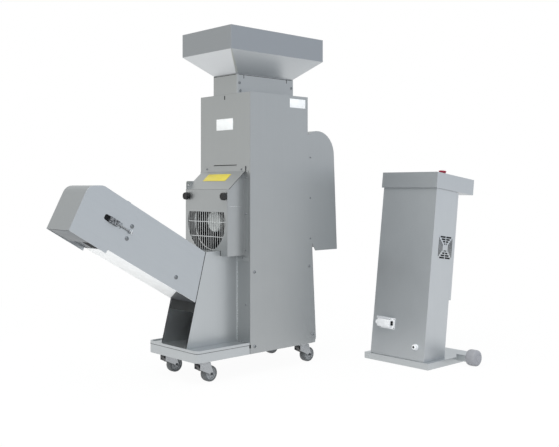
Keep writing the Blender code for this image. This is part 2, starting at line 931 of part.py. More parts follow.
def product_slide(root):
    """The sloped tray that peeled almonds run down, out to the belt."""
    inner = ARM_WIDTH / 2 - 2 * SHEET - TRAY_FLOOR / 2 - GAP
    wide = HALF - SHEET - GAP
    lip_y, lip_z = arm_place(TAIL_ALONG, HEAD_DROP - HEAD_RADIUS - 6 * BELT_THICKNESS)
    slope = math.tan(ARM_ANGLE)
    rear_y = rear_edge(OUTLET_BOTTOM) - SHEET - 2 * GAP
    start = SHEET + GAP

    def height(y):
        return lip_z + (y - lip_y) * slope

    narrow = [(lip_y, lip_z), (start, height(start)), (start, height(start) + SHEET), (lip_y, lip_z + SHEET)]
    slide = piece("product_slide", prism(narrow, "x", -inner, inner), steel("slide"), root)
    side = 8 * SHEET
    broad = [
        (start, height(start)),
        (rear_y, height(rear_y)),
        (rear_y, height(rear_y) + SHEET),
        (start, height(start) + SHEET),
    ]
    join(slide, prism(broad, "x", -wide, wide), "broad_part")
    cheek = [(lip_y, lip_z), (start + SHEET, height(start + SHEET))]
    cheek += [(start + SHEET, height(start + SHEET) + side), (lip_y, lip_z + side)]
    cheeks = together(
        prism(cheek, "x", -inner, -inner + SHEET), prism(cheek, "x", inner - SHEET, inner)
    )
    join(slide, cheeks, "cheeks")


# Fan, its box and its cover


def fan(root):
    face = -FAN_BOX_DEPTH
    behind = face + SHEET + GAP
    left, right = FAN_BOX_LEFT, FAN_BOX_RIGHT
    low, bend, top = FAN_BOX_BOTTOM, FAN_BOX_BEND + 2 * GAP, FAN_BOX_TOP
    slope = (top - bend) / (FAN_BOX_DEPTH - SHEET - GAP)
    flat = -SHEET - GAP
    roof = [
        (-GAP, top + FAN_TOP_FLANGE),
        (flat, top + FAN_TOP_FLANGE),
        (flat, top),
        (face, bend),
        (face + SHEET, bend),
        (-GAP, bend + (FAN_BOX_DEPTH - SHEET - GAP) * slope),
    ]
    box = piece("fan_box", prism(roof, "x", left, right + ROOF_OVERHANG), steel("fan"), root)

    def under_roof(y):
        return bend + (y - face - SHEET / 2) * slope

    wall = [(-GAP, low), (-GAP, under_roof(-GAP)), (behind, under_roof(behind)), (behind, low)]
    join(box, prism(wall, "x", right - SHEET, right), "right_wall")
    ear = rounded(
        [
            (-GAP, low),
            (-GAP, under_roof(-GAP)),
            (face + (EAR_TOP - bend) / slope, under_roof(face + (EAR_TOP - bend) / slope)),
            (face + (EAR_TOP - bend) / slope, EAR_TOP),
            (behind, EAR_TOP),
            (behind, low),
        ],
        [0, 0, 0, 0, EAR_CORNER, 0],
    )
    join(box, prism(ear, "x", left, left + SHEET), "left_wall_with_ear")
    join(
        box,
        block((left + GAP, behind + GAP, low), (right - GAP, -2 * GAP, low + SHEET)),
        "floor",
    )
    shoulder = under_roof(-GAP)
    join(
        box,
        together(
            block((right - SHEET / 2, flat, low), (right + FAN_FLANGE, -GAP, shoulder)),
            block((-HALF + GAP, flat, low), (left + SHEET / 2, -GAP, shoulder)),
        ),
        "flanges",
    )
    tab = 4 * STUD_RADIUS
    knob_spots = (FAN_X - KNOB_SPREAD, FAN_X + KNOB_SPREAD)
    outer = (left + SHEET / 2, right - SHEET / 2)
    tabs = [
        block(
            (min(edge, x - tab), behind, KNOB_HEIGHT - tab),
            (max(edge, x + tab), behind + SHEET, KNOB_HEIGHT + tab),
        )
        for edge, x in zip(outer, knob_spots)
    ]
    join(box, together(*tabs), "knob_tabs")
    fit = STUD_RADIUS + 2 * GAP
    holes = [
        rod(fit, "y", (x, behind, KNOB_HEIGHT), -OVERRUN / 2, OVERRUN / 2, 12) for x in knob_spots
    ]
    eye_place = (left, face + EAR_EYE_INSET, EAR_TOP - EAR_EYE_DROP)
    eye = rod(STUD_RADIUS, "x", eye_place, -OVERRUN / 2, OVERRUN / 2, 12)
    cut(box, together(eye, *holes), "stud_holes")

    cover = piece(
        "fan_cover",
        block((left, face, low), (right, face + SHEET, FAN_BOX_BEND)),
        steel("cover"),
        root,
    )
    holes = [
        rod(STUD_RADIUS + GAP, "y", (x, face, KNOB_HEIGHT), -OVERRUN / 2, OVERRUN / 2, 12)
        for x in knob_spots
    ]
    cut(cover, together(*holes), "stud_holes")
    angle = math.asin((FAN_OPENING_TOP - FAN_HEIGHT) / FAN_OPENING)
    opening = arc((FAN_X, FAN_HEIGHT), FAN_OPENING, math.pi - angle, 2 * math.pi + angle, 32)
    cut(cover, prism(opening, "y", face - OVERRUN, face + OVERRUN), "fan_opening")
    cut(cover, over_housing(), "notch_over_housing")

    guard_parts(cover, behind)

    for side, x in zip(("left", "right"), knob_spots):
        lobed = turned(
            [
                (0, -KNOB_LENGTH),
                (KNOB_RADIUS - 2 * SHEET, -KNOB_LENGTH),
                (KNOB_RADIUS, -KNOB_LENGTH + 2 * SHEET),
                (KNOB_RADIUS, -2 * SHEET),
                (KNOB_RADIUS * 0.7, -GAP),
                (STUD_RADIUS, -GAP),
                (STUD_RADIUS, SHEET * 5),
                (0, SHEET * 5),
            ],
            "y",
            (x, face, KNOB_HEIGHT),
            20,
        )
        piece(f"cover_knob_{side}", lobed, black("knob"), cover, (x, face, KNOB_HEIGHT), smooth=True)

    hub_front = face + HUB_SETBACK
    hub_rear = hub_front + HUB_DEPTH
    pin = 2 * STUD_RADIUS
    centre = (FAN_X, 0, FAN_HEIGHT)
    rotor = piece(
        "fan_impeller",
        turned(
            [
                (0, hub_front),
                (HUB_RADIUS - 2 * SHEET, hub_front),
                (HUB_RADIUS, hub_front + 2 * SHEET),
                (HUB_RADIUS, hub_rear),
                (pin + GAP, hub_rear),
                (pin + GAP, hub_front + 3 * SHEET),
                (0, hub_front + 3 * SHEET),
            ],
            "y",
            centre,
            28,
        ),
        grey("impeller"),
        root,
        (FAN_X, hub_rear, FAN_HEIGHT),
        smooth=True,
    )
    blades = []
    for i in range(BLADES):
        blade = fan_blade(hub_front, hub_rear)
        turn = Matrix.Rotation(2 * math.pi * i / BLADES, 3, "Y")
        bmesh.ops.rotate(blade, cent=(0, 0, 0), matrix=turn, verts=blade.verts)
        bmesh.ops.translate(blade, vec=centre, verts=blade.verts)
        blades.append(blade)
    join(rotor, together(*blades), "blades")

    stator_front = hub_rear + SHEET
    motor = piece(
        "fan_motor",
        turned(
            [
                (0, hub_front + 4 * SHEET),
                (pin, hub_front + 4 * SHEET),
                (pin, stator_front),
                (HUB_RADIUS * 0.85, stator_front),
                (HUB_RADIUS * 0.85, stator_front + HUB_DEPTH),
                (0, stator_front + HUB_DEPTH),
            ],
            "y",
            centre,
            24,
        ),
        black("stator"),
        root,
        smooth=True,
    )
    reach = BLADE_REACH + 4 * SHEET
    arm = 3 * SHEET
    low = -SHEET - GAP
    arms = together(
        block((FAN_X - reach, low, FAN_HEIGHT - arm), (FAN_X + reach, -GAP, FAN_HEIGHT + arm)),
    )
    join(motor, arms, "cross_arm")
    join(
        motor,
        block((FAN_X - arm, low, FAN_HEIGHT - reach), (FAN_X + arm, -GAP, FAN_HEIGHT + reach)),
        "upright_arm",
    )


def fan_blade(front, rear):
    """One twisted blade that points up from the hub's centre line."""
    middle = (front + rear) / 2
    shape = bmesh.new()
    rows = []
    for share, chord, pitch in ((0.9, 0.62, 50), (1.6, 0.8, 34), (BLADE_REACH / HUB_RADIUS, 1.0, 24)):
        radius = HUB_RADIUS * share
        length = HUB_RADIUS * chord
        lean = math.radians(pitch)
        row = []
        for along, side in ((-1, -1), (1, -1), (1, 1), (-1, 1)):
            x = along * length * math.cos(lean) - side * SHEET / 2 * math.sin(lean)
            y = along * HUB_DEPTH * 0.42 * math.sin(lean) + side * SHEET / 2 * math.cos(lean)
            row.append(shape.verts.new((x, middle + y, math.sqrt(max(radius**2 - x**2, 0)))))
        rows.append(row)
    for lower, upper in zip(rows, rows[1:]):
        for i in range(4):
            j = (i + 1) % 4
            shape.faces.new((lower[i], lower[j], upper[j], upper[i]))
    shape.faces.new(rows[0])
    shape.faces.new(rows[-1])
    bmesh.ops.recalc_face_normals(shape, faces=shape.faces)
    return shape


def guard_parts(cover, behind):
    """The wire guard behind the cover's opening: ring, upright bars and two cross wires."""
    outer = FAN_OPENING + 2 * BAR_SIZE
    angle = math.asin((FAN_OPENING_TOP + 2 * BAR_SIZE - FAN_HEIGHT) / outer)
    inner_angle = math.asin((FAN_OPENING_TOP + BAR_SIZE - FAN_HEIGHT) / (outer - BAR_SIZE))
    middle = (FAN_X, FAN_HEIGHT)
    ring = arc(middle, outer, math.pi - angle, 2 * math.pi + angle, 32)
    hole = arc(middle, outer - BAR_SIZE, math.pi - inner_angle, 2 * math.pi + inner_angle, 32)
    rear = behind + BAR_SIZE
    guard = piece("fan_guard", prism(ring, "y", behind, rear), steel("guard"), cover)
    cut(guard, prism(hole, "y", behind - OVERRUN, rear + OVERRUN), "inside")
    count = int(FAN_OPENING / BAR_PITCH)
    bars = []
    for i in range(-count, count + 1):
        x = FAN_X + i * BAR_PITCH
        reach = math.sqrt((outer - BAR_SIZE / 2) ** 2 - (x - FAN_X) ** 2)
        top = min(FAN_OPENING_TOP + 1.5 * BAR_SIZE, FAN_HEIGHT + reach)
        bars.append(
            block(
                (x - BAR_SIZE / 2, behind, FAN_HEIGHT - reach),
                (x + BAR_SIZE / 2, rear - BAR_SIZE / 4, top),
            )
        )
    join(guard, together(*bars), "bars")
    wires = []
    for height in (FAN_HEIGHT, FAN_HEIGHT - FAN_OPENING * 0.49):
        reach = math.sqrt((outer - BAR_SIZE / 2) ** 2 - (height - FAN_HEIGHT) ** 2)
        wires.append(
            block(
                (FAN_X - reach, behind + BAR_SIZE / 4, height - BAR_SIZE / 2),
                (FAN_X + reach, rear, height + BAR_SIZE / 2),
            )
        )
    join(guard, together(*wires), "cross_wires")
    cut(guard, over_housing(), "notch_over_housing")


def over_housing():
    """The space that the cover leaves free, so that it pulls forward over the lower housing."""
    side = ARM_WIDTH / 2 + SHEET
    depth = FAN_BOX_DEPTH + OVERRUN
    return block((-side, -depth, FAN_BOX_BOTTOM - OVERRUN), (side, 0, HOUSING_TOP + GAP))


# Lower housing and conveyor


def lower_housing(root):
    half = ARM_WIDTH / 2
    low = BASE_TOP + GAP + TRAY_FLOOR + GAP
    notch = -FAN_BOX_DEPTH - GAP - SHEET / 2
    under_fan = FAN_BOX_BOTTOM - GAP
    outline = [
        (-HOUSING_FRONT, low),
        (-HOUSING_TOP_FRONT, HOUSING_TOP),
        (notch, HOUSING_TOP),
        (notch, under_fan),
        (-GAP, under_fan),
        (-GAP, low),
    ]
    housing = piece("lower_housing", prism(outline, "x", -half, half), steel("housing"), root)
    inside = [
        (-HOUSING_FRONT - OVERRUN, low + SHEET),
        (-HOUSING_TOP_FRONT - OVERRUN, HOUSING_TOP - SHEET),
        (notch - SHEET, HOUSING_TOP - SHEET),
        (notch - SHEET, under_fan - SHEET),
        (OVERRUN, under_fan - SHEET),
        (OVERRUN, low + SHEET),
    ]
    cut(housing, prism(inside, "x", -half + SHEET, half - SHEET), "inside")
    seat = arm_place(TAIL_ALONG, tail_drop())
    boss = 2 * TAIL_SHAFT
    depth = half - SHEET - BELT_WIDTH / 2 - 3 * GAP
    wall = half - SHEET
    bosses = together(
        rod(boss, "x", (0, *seat), wall - depth, wall + SHEET / 2, 20),
        rod(boss, "x", (0, *seat), -wall - SHEET / 2, -wall + depth, 20),
    )
    join(housing, bosses, "bearing_bosses")
    cut(housing, rod(TAIL_SHAFT + GAP, "x", (0, *seat), -wall, wall, 20), "shaft_seats")


def tail_drop():
    """Depth of the tail drum's centre below the top line, so that both drums share a belt line."""
    return HEAD_DROP - HEAD_RADIUS + TAIL_RADIUS


def idler_drop():
    return tail_drop() + TAIL_RADIUS - IDLER_RADIUS


def arm_outline(lower_edge):
    """Side view of the conveyor: top line, level crest, front face, lip, tab and lower edge."""
    crest = arm_line(HOOD_CREST_Y)
    lip = (HOOD_LIP_Y, HOOD_LIP_Z)
    tab_low = arm_place(TAB_ALONG - TAB_DROP, ARM_HEIGHT + TAB_DROP)
    tab_high = arm_place(TAB_ALONG - TAB_DROP, ARM_HEIGHT)
    slant = (HOUSING_FRONT - HOUSING_TOP_FRONT) / (HOUSING_TOP - BASE_TOP)

    def beside_housing(height):
        return -HOUSING_TOP_FRONT - ARM_GAP - (HOUSING_TOP - height) * slant

    foot_y, foot_z = arm_place(lower_edge, ARM_HEIGHT)
    start = (beside_housing(ARM_TOP_Z), ARM_TOP_Z)
    return [
        (start[0], arm_line(start[0])),
        (HOOD_CREST_Y, crest),
        (HOOD_NOSE_Y, crest),
        lip,
        tab_low,
        tab_high,
        (beside_housing(foot_z), arm_low_line(beside_housing(foot_z))),
    ]


def arm_low_line(y):
    """Height of the conveyor's lower edge at y."""
    start_y, start_z = arm_place(0, ARM_HEIGHT)
    return start_z + (start_y - y) * math.tan(ARM_ANGLE)


def conveyor(root):
    half = ARM_WIDTH / 2
    outline = arm_outline(-ARM_HEIGHT * math.sin(ARM_ANGLE) / 2)
    bent = rounded(outline, [0, HOOD_BEND, HOOD_BEND, 0, 0, 0, 0])
    head = arm_place(HEAD_ALONG, HEAD_DROP)
    slot = [
        arm_place(HEAD_ALONG + along * SLOT_LENGTH / 2, HEAD_DROP + drop * SLOT_WIDTH / 2)
        for along, drop in ((-1, -1), (1, -1), (1, 1), (-1, 1))
    ]
    slot = rounded(slot, [0, SLOT_WIDTH / 3, SLOT_WIDTH / 3, 0])
    rod_x = half + ROD_RADIUS + 2 * GAP
    for side, sign in (("right", 1), ("left", -1)):
        low, high = sorted((sign * (half - SHEET), sign * half))
        plate = piece(f"conveyor_side_{side}", prism(bent, "x", low, high), steel("arm"), root)
        cut(plate, prism(slot, "x", low - OVERRUN / 4, high + OVERRUN / 4), "take_up_slot")
        stop = HEAD_ALONG - BLOCK_LENGTH / 2 - ROD_LENGTH + 2 * ROD_RADIUS
        ear = [
            arm_place(stop + along * SHEET, HEAD_DROP + drop * 2.5 * ROD_RADIUS)
            for along, drop in ((-0.5, -1), (0.5, -1), (0.5, 1), (-0.5, 1))
        ]
        reach = sorted((sign * (half - SHEET / 2), sign * (half + 3 * ROD_RADIUS)))
        join(plate, prism(ear, "x", *reach), "screw_bracket")
        screw = arm_rod(ROD_RADIUS + GAP, sign * rod_x, stop - OVERRUN, stop + OVERRUN / 4)
        cut(plate, screw, "screw_hole")

        reach = sorted((sign * (BELT_WIDTH / 2 + 2 * GAP), sign * (half + 3 * ROD_RADIUS)))
        body = [
            arm_place(HEAD_ALONG + along * BLOCK_LENGTH / 2, HEAD_DROP + drop * (SLOT_WIDTH / 2 - 2 * GAP))
            for along, drop in ((-1, -1), (1, -1), (1, 1), (-1, 1))
        ]
        block_shape = piece(f"take_up_{side}", prism(body, "x", *reach), zinc("take_up"), root)
        screw = arm_rod(
            ROD_RADIUS, sign * rod_x, HEAD_ALONG - BLOCK_LENGTH / 2 - ROD_LENGTH, HEAD_ALONG - BLOCK_LENGTH / 4
        )
        join(block_shape, screw, "screw")
        ends = sorted((0, sign * (half + ROD_RADIUS)))
        cut(block_shape, rod(HEAD_SHAFT + GAP, "x", (0, *head), *ends, 16), "bearing")

    inner = half - SHEET - GAP
    seam = (COVER_SEAM_Y, arm_line(COVER_SEAM_Y))
    strip = band([outline[0], seam], [])
    piece("conveyor_cover", prism(strip, "x", -inner, inner), steel("arm_cover"), root)
    seam_gap = (COVER_SEAM_Y - SHEET, arm_line(COVER_SEAM_Y - SHEET))
    strip = band([seam_gap, *outline[1:4]], [0, HOOD_BEND, HOOD_BEND, 0])
    piece("conveyor_hood", prism(strip, "x", -inner, inner), steel("hood"), root)

    bed_top = HEAD_DROP - HEAD_RADIUS + GAP
    bed = [
        arm_place(TAIL_ALONG + TAIL_RADIUS, bed_top),
        arm_place(HEAD_ALONG - HEAD_RADIUS, bed_top),
        arm_place(HEAD_ALONG - HEAD_RADIUS, bed_top + SHEET),
        arm_place(HEAD_ALONG - HEAD_RADIUS * 1.3, bed_top + SHEET * 6),
        arm_place(HEAD_ALONG - HEAD_RADIUS * 1.4, bed_top + SHEET),
        arm_place(TAIL_ALONG + TAIL_RADIUS * 1.7, bed_top + SHEET),
        arm_place(TAIL_ALONG + TAIL_RADIUS * 1.65, bed_top + SHEET * 6),
        arm_place(TAIL_ALONG + TAIL_RADIUS * 1.6, bed_top + SHEET),
        arm_place(TAIL_ALONG + TAIL_RADIUS, bed_top + SHEET),
    ]
    piece("belt_bed", prism(bed, "x", -inner, inner), steel("bed"), root)

    spots = {
        "head": (HEAD_ALONG, HEAD_DROP, HEAD_RADIUS),
        "tail": (TAIL_ALONG, tail_drop(), TAIL_RADIUS),
        "idler": (IDLER_ALONG, idler_drop(), IDLER_RADIUS),
    }
    belt_inner = wrapped(spots.values(), GAP)
    belt_outer = wrapped(spots.values(), GAP + BELT_THICKNESS)
    wide = BELT_WIDTH / 2
    belt = piece("conveyor_belt", prism(belt_outer, "x", -wide, wide), white("belt"), root)
    cut(belt, prism(belt_inner, "x", -wide - OVERRUN, wide + OVERRUN), "inside")

    ends = {
        "head": (HEAD_SHAFT, half + ROD_RADIUS - GAP),
        "tail": (TAIL_SHAFT, half - SHEET - GAP),
        "idler": (IDLER_SHAFT, half - SHEET - GAP),
    }
    for name, (along, drop, radius) in spots.items():
        shaft, reach = ends[name]
        face = wide - GAP
        crown = radius - GAP
        profile = [
            (0, -reach),
            (shaft, -reach),
            (shaft, -face),
            (crown, -face),
            (crown, face),
            (shaft, face),
            (shaft, reach),
            (0, reach),
        ]
        centre = (0, *arm_place(along, drop))
        sides = 32 if name == "tail" else 24
        piece(
            f"{name}_roller", turned(profile, "x", centre, sides), zinc("roller"), root, centre, smooth=True
        )


def arm_rod(radius, x, start, end):
    """A bar that lies along the conveyor, on the belt line of the take-up."""
    middle_y, middle_z = arm_place((start + end) / 2, HEAD_DROP)
    shape = rod(radius, "y", (0, 0, 0), -(end - start) / 2, (end - start) / 2, 10)
    bmesh.ops.rotate(
        shape, cent=(0, 0, 0), matrix=Matrix.Rotation(-ARM_ANGLE, 3, "X"), verts=shape.verts
    )
    bmesh.ops.translate(shape, vec=(x, middle_y, middle_z), verts=shape.verts)
    return shape


def band(line, radii):
    """A strip of sheet below a bent line, as an outline."""
    radii = radii or [0] * len(line)
    below = []
    for i, spot in enumerate(line):
        here = Vector(spot)
        ways = []
        if i:
            ways.append((here - Vector(line[i - 1])).normalized())
        if i < len(line) - 1:
            ways.append((Vector(line[i + 1]) - here).normalized())
        normals = [Vector((way.y, -way.x)) * -1 for way in ways]
        middle = sum(normals, Vector((0, 0))).normalized()
        lean = middle.dot(normals[0])
        below.append(tuple(here + middle * SHEET / lean))
    shrunk = [radius - SHEET if radius else 0 for radius in radii]
    return rounded(line + below[::-1], radii + shrunk[::-1])


def wrapped(circles, extra):
    """The outline of a belt round circles given as (along, drop, radius), at a distance from them."""
    points = []
    for along, drop, radius in circles:
        points += arc(arm_place(along, drop), radius + extra, 0, 2 * math.pi * 35 / 36, 35)
    points = sorted(points)

    def chain(spots):
        kept = []
        for spot in spots:
            while len(kept) > 1 and turn_between(kept[-2], kept[-1], spot) <= 0:
                kept.pop()
            kept.append(spot)
        return kept[:-1]

    return chain(points) + chain(points[::-1])


def turn_between(a, b, c):
    return (b[0] - a[0]) * (c[1] - a[1]) - (b[1] - a[1]) * (c[0] - a[0])


# Exhaust hood


def exhaust_hood(root):
    half = HALF - GAP
    centre = (EXHAUST_REAR_TOP - EXHAUST_ARC, EXHAUST_CREST - EXHAUST_ARC)
    near = rear_edge(EXHAUST_CREST) + GAP
    for _ in range(BEND_STEPS):
        height = centre[1] + math.sqrt(EXHAUST_ARC**2 - (near - centre[0]) ** 2)
        near = rear_edge(height) + GAP
    start = math.acos((near - centre[0]) / EXHAUST_ARC)
    crown = arc(centre, EXHAUST_ARC, start, 0, 12)
    low = EXHAUST_BOTTOM
    corner = low + 2 * EXHAUST_CHAMFER
    outline = [
        *crown,
        (EXHAUST_REAR_FOOT, low),
        (rear_edge(low) + GAP + EXHAUST_CHAMFER, low),
        (rear_edge(corner) + GAP, corner),
    ]
    hood = piece("exhaust_hood", prism(outline, "x", -half, half), steel("exhaust"), root)
    start = math.acos((near - centre[0]) / (EXHAUST_ARC - SHEET))
    inner = arc(centre, EXHAUST_ARC - SHEET, start, 0, 12)
    inside = [
        (near - OVERRUN, inner[0][1]),
        *inner,
        (EXHAUST_REAR_FOOT - SHEET, low),
        (EXHAUST_REAR_FOOT - SHEET, low - OVERRUN),
        (near - OVERRUN, low - OVERRUN),
    ]
    cut(hood, prism(inside, "x", -half + SHEET, half - SHEET), "inside")


# Control stand


def control_stand(root):
    half = STAND_WIDTH / 2
    left, right = STAND_X - half, STAND_X + half
    rear = STAND_FRONT + STAND_DEPTH
    plate = piece(
        "stand_base",
        block((left, STAND_FRONT, 0), (right, rear, STAND_PLATE)),
        steel("stand_base"),
        root,
    )
    cut(
        plate,
        block(
            (left + SHEET, STAND_FRONT + SHEET, -OVERRUN),
            (right - SHEET, rear - SHEET, STAND_PLATE - SHEET),
        ),
        "underside",
    )
    brackets, axles = [], []
    beam = AXLE_BEAM / 2
    for sign in (-1, 1):
        near, far = sorted((sign * (half - SHEET / 2), sign * (half + STAND_WHEEL_OUT - 2 * SHEET)))
        brackets.append(
            block(
                (STAND_X + near, STAND_WHEEL_Y - beam, STAND_WHEEL_RADIUS - AXLE_BEAM),
                (STAND_X + far, STAND_WHEEL_Y + beam, STAND_WHEEL_RADIUS + STAND_AXLE),
            )
        )
        end = sign * (half + STAND_WHEEL_OUT + STAND_WHEEL_WIDTH)
        near, far = sorted((sign * (half + STAND_AXLE), end))
        axles.append(rod(STAND_AXLE, "x", (STAND_X, STAND_WHEEL_Y, STAND_WHEEL_RADIUS), near, far, 14))
    join(plate, together(*brackets), "wheel_brackets")
    join(plate, together(*axles), "stub_axles")

    for side, sign in (("right", 1), ("left", -1)):
        start = half + STAND_WHEEL_OUT
        near, far = start + GAP, start + STAND_WHEEL_WIDTH - GAP
        soft = STAND_WHEEL_WIDTH / 8
        profile = [
            (STAND_AXLE + GAP, near),
            (STAND_WHEEL_RADIUS - soft, near),
            (STAND_WHEEL_RADIUS, near + soft),
            (STAND_WHEEL_RADIUS, far - soft),
            (STAND_WHEEL_RADIUS - soft, far),
            (STAND_AXLE + GAP, far),
        ]
        centre = (STAND_X, STAND_WHEEL_Y, STAND_WHEEL_RADIUS)
        shape = turned([(radius, sign * along) for radius, along in profile], "x", centre, 28)
        pivot = (STAND_X + sign * (near + far) / 2, STAND_WHEEL_Y, STAND_WHEEL_RADIUS)
        piece(f"stand_wheel_{side}", shape, grey("stand_wheel"), root, pivot, smooth=True)

    column_parts(root)
    desk_parts(root)


def column_parts(root):
    half = COLUMN_WIDTH / 2
    low_x, high_x = STAND_X - half, STAND_X + half
    foot = STAND_PLATE + GAP
    slope = math.tan(STAND_LEAN)
    front_foot = (column_place(0, 0)[0], foot)
    rear_top = column_place(COLUMN_DEPTH, COLUMN_LENGTH)
    rear_y = rear_top[0] - (rear_top[1] - foot) * slope
    outline = [front_foot, column_place(0, COLUMN_LENGTH), rear_top, (rear_y, foot)]
    column = piece("stand_column", prism(outline, "x", low_x, high_x), steel("column"), root)
    inside = [
        (front_foot[0] + SHEET - slope * OVERRUN, foot - OVERRUN),
        column_place(SHEET, COLUMN_LENGTH + OVERRUN),
        column_place(COLUMN_DEPTH - SHEET, COLUMN_LENGTH + OVERRUN),
        (rear_y - SHEET - slope * OVERRUN, foot - OVERRUN),
    ]
    cut(column, prism(inside, "x", low_x + SHEET, high_x - SHEET), "inside")
    margin = OVERRUN
    door_opening = [
        column_place(COLUMN_DEPTH - OVERRUN, DOOR_START + margin),
        column_place(COLUMN_DEPTH - OVERRUN, COLUMN_LENGTH - 2 * margin),
        column_place(COLUMN_DEPTH + OVERRUN, COLUMN_LENGTH - 2 * margin),
        column_place(COLUMN_DEPTH + OVERRUN, DOOR_START + margin),
    ]
    cut(column, prism(door_opening, "x", low_x + margin, high_x - margin), "door_opening")
    cut(column, vent_slots(high_x), "vent")

    door_outline = [
        column_place(COLUMN_DEPTH + GAP, DOOR_START),
        column_place(COLUMN_DEPTH + GAP, COLUMN_LENGTH - GAP - SHEET),
        column_place(COLUMN_DEPTH + GAP + DOOR_THICKNESS, COLUMN_LENGTH - GAP - SHEET),
        column_place(COLUMN_DEPTH + GAP + DOOR_THICKNESS, DOOR_START),
    ]
    pivot_y, pivot_z = column_place(COLUMN_DEPTH + GAP + DOOR_THICKNESS, (DOOR_START + COLUMN_LENGTH) / 2)
    door = piece(
        "stand_door",
        prism(door_outline, "x", low_x, high_x),
        steel("door"),
        root,
        (low_x, pivot_y, pivot_z),
    )
    dish = [
        column_place(COLUMN_DEPTH - OVERRUN, DOOR_START + SHEET),
        column_place(COLUMN_DEPTH - OVERRUN, COLUMN_LENGTH - GAP - 2 * SHEET),
        column_place(COLUMN_DEPTH + GAP + DOOR_THICKNESS - SHEET, COLUMN_LENGTH - GAP - 2 * SHEET),
        column_place(COLUMN_DEPTH + GAP + DOOR_THICKNESS - SHEET, DOOR_START + SHEET),
    ]
    cut(door, prism(dish, "x", low_x + SHEET, high_x - SHEET), "dish")

    connector_and_gland(root)


def vent_slots(high_x):
    """Four triangular fields of slots: level ones above and below, upright ones at the sides."""
    slots = []
    pitch = VENT_SIDE / 2 / (VENT_ROWS + 1)
    width = pitch * 0.42
    for i in range(1, VENT_ROWS + 1):
        far = pitch * (i + 0.5)
        reach = far - pitch * 0.9
        if reach < pitch * 0.4:
            continue
        for sign in (-1, 1):
            level = [(-reach, sign * far - width / 2), (reach, sign * far + width / 2)]
            upright = [(sign * far - width / 2, -reach), (sign * far + width / 2, reach)]
            for (back_a, up_a), (back_b, up_b) in (level, upright):
                corners = [(back_a, up_a), (back_b, up_a), (back_b, up_b), (back_a, up_b)]
                outline = [column_place(VENT_BACK + back, VENT_UP + up) for back, up in corners]
                slots.append(prism(outline, "x", high_x - OVERRUN / 2, high_x + OVERRUN / 2))
    return together(*slots)


def connector_and_gland(root):
    """The multi-pole plug connection and the cable gland on the column's front."""
    width, height, depth = PLUG_WIDTH, PLUG_HEIGHT, PLUG_DEPTH
    middle_x = STAND_X + PLUG_SIDE
    y, z = column_place(-GAP, PLUG_UP)
    flange = 2 * SHEET
    shape = block(
        (middle_x - width / 2, y - flange, z - height / 2),
        (middle_x + width / 2, y, z + height / 2),
    )
    body = piece("power_connector", tilted(shape, -STAND_LEAN, (0, y, z)), white("connector"), root)
    hood = rounded(
        rectangle(
            middle_x - width * 0.42, middle_x + width * 0.4, z - height * 0.36, z + height * 0.36
        ),
        [height * 0.14] * 4,
        2,
    )
    hood_shape = prism(hood, "y", y - depth, y - flange / 2)
    join(body, tilted(hood_shape, -STAND_LEAN, (0, y, z)), "hood")
    nose = turned(
        [
            (0, -width * 0.62),
            (height * 0.2, -width * 0.62),
            (height * 0.26, -width * 0.5),
            (height * 0.26, -width * 0.3),
            (0, -width * 0.3),
        ],
        "x",
        (middle_x, y - depth * 0.55, z),
        14,
    )
    join(body, tilted(nose, -STAND_LEAN, (0, y, z)), "cable_entry")

    reach = width * 0.3
    arm = SHEET
    top = height / 2 + 2 * SHEET
    lever = block(
        (middle_x - reach, y - depth * 0.62, z + height * 0.36 + GAP),
        (middle_x + reach, y - flange - SHEET, z + height * 0.36 + GAP + arm),
    )
    lever_piece = piece(
        "connector_lever",
        tilted(lever, -STAND_LEAN, (0, y, z)),
        grey("lever"),
        root,
        lever_pivot(y, z, height, flange),
    )
    lip = block(
        (middle_x - reach, y - depth * 0.62, z + height * 0.36 + GAP),
        (middle_x + reach, y - depth * 0.62 + arm, z + top),
    )
    join(lever_piece, tilted(lip, -STAND_LEAN, (0, y, z)), "finger_lip")

    gland_y, gland_z = column_place(-GAP, GLAND_UP)
    gland_x = STAND_X + GLAND_SIDE
    radius = GLAND_RADIUS
    shape = turned(
        [
            (radius * 0.45, 0),
            (radius, 0),
            (radius, -radius * 0.5),
            (radius * 0.86, -radius * 0.62),
            (radius * 0.8, -radius * 1.05),
            (radius * 0.55, -radius * 1.25),
            (radius * 0.45, -radius * 1.25),
        ],
        "y",
        (gland_x, gland_y, gland_z),
        18,
    )
    piece(
        "cable_gland",
        tilted(shape, -STAND_LEAN, (0, gland_y, gland_z)),
        white("gland"),
        root,
        smooth=True,
    )


def lever_pivot(y, z, height, flange):
    spot = Vector((0, -flange - SHEET, height * 0.36 + GAP + SHEET / 2))
    spot.rotate(Matrix.Rotation(-STAND_LEAN, 3, "X"))
    return (STAND_X + PLUG_SIDE, y + spot.y, z + spot.z)


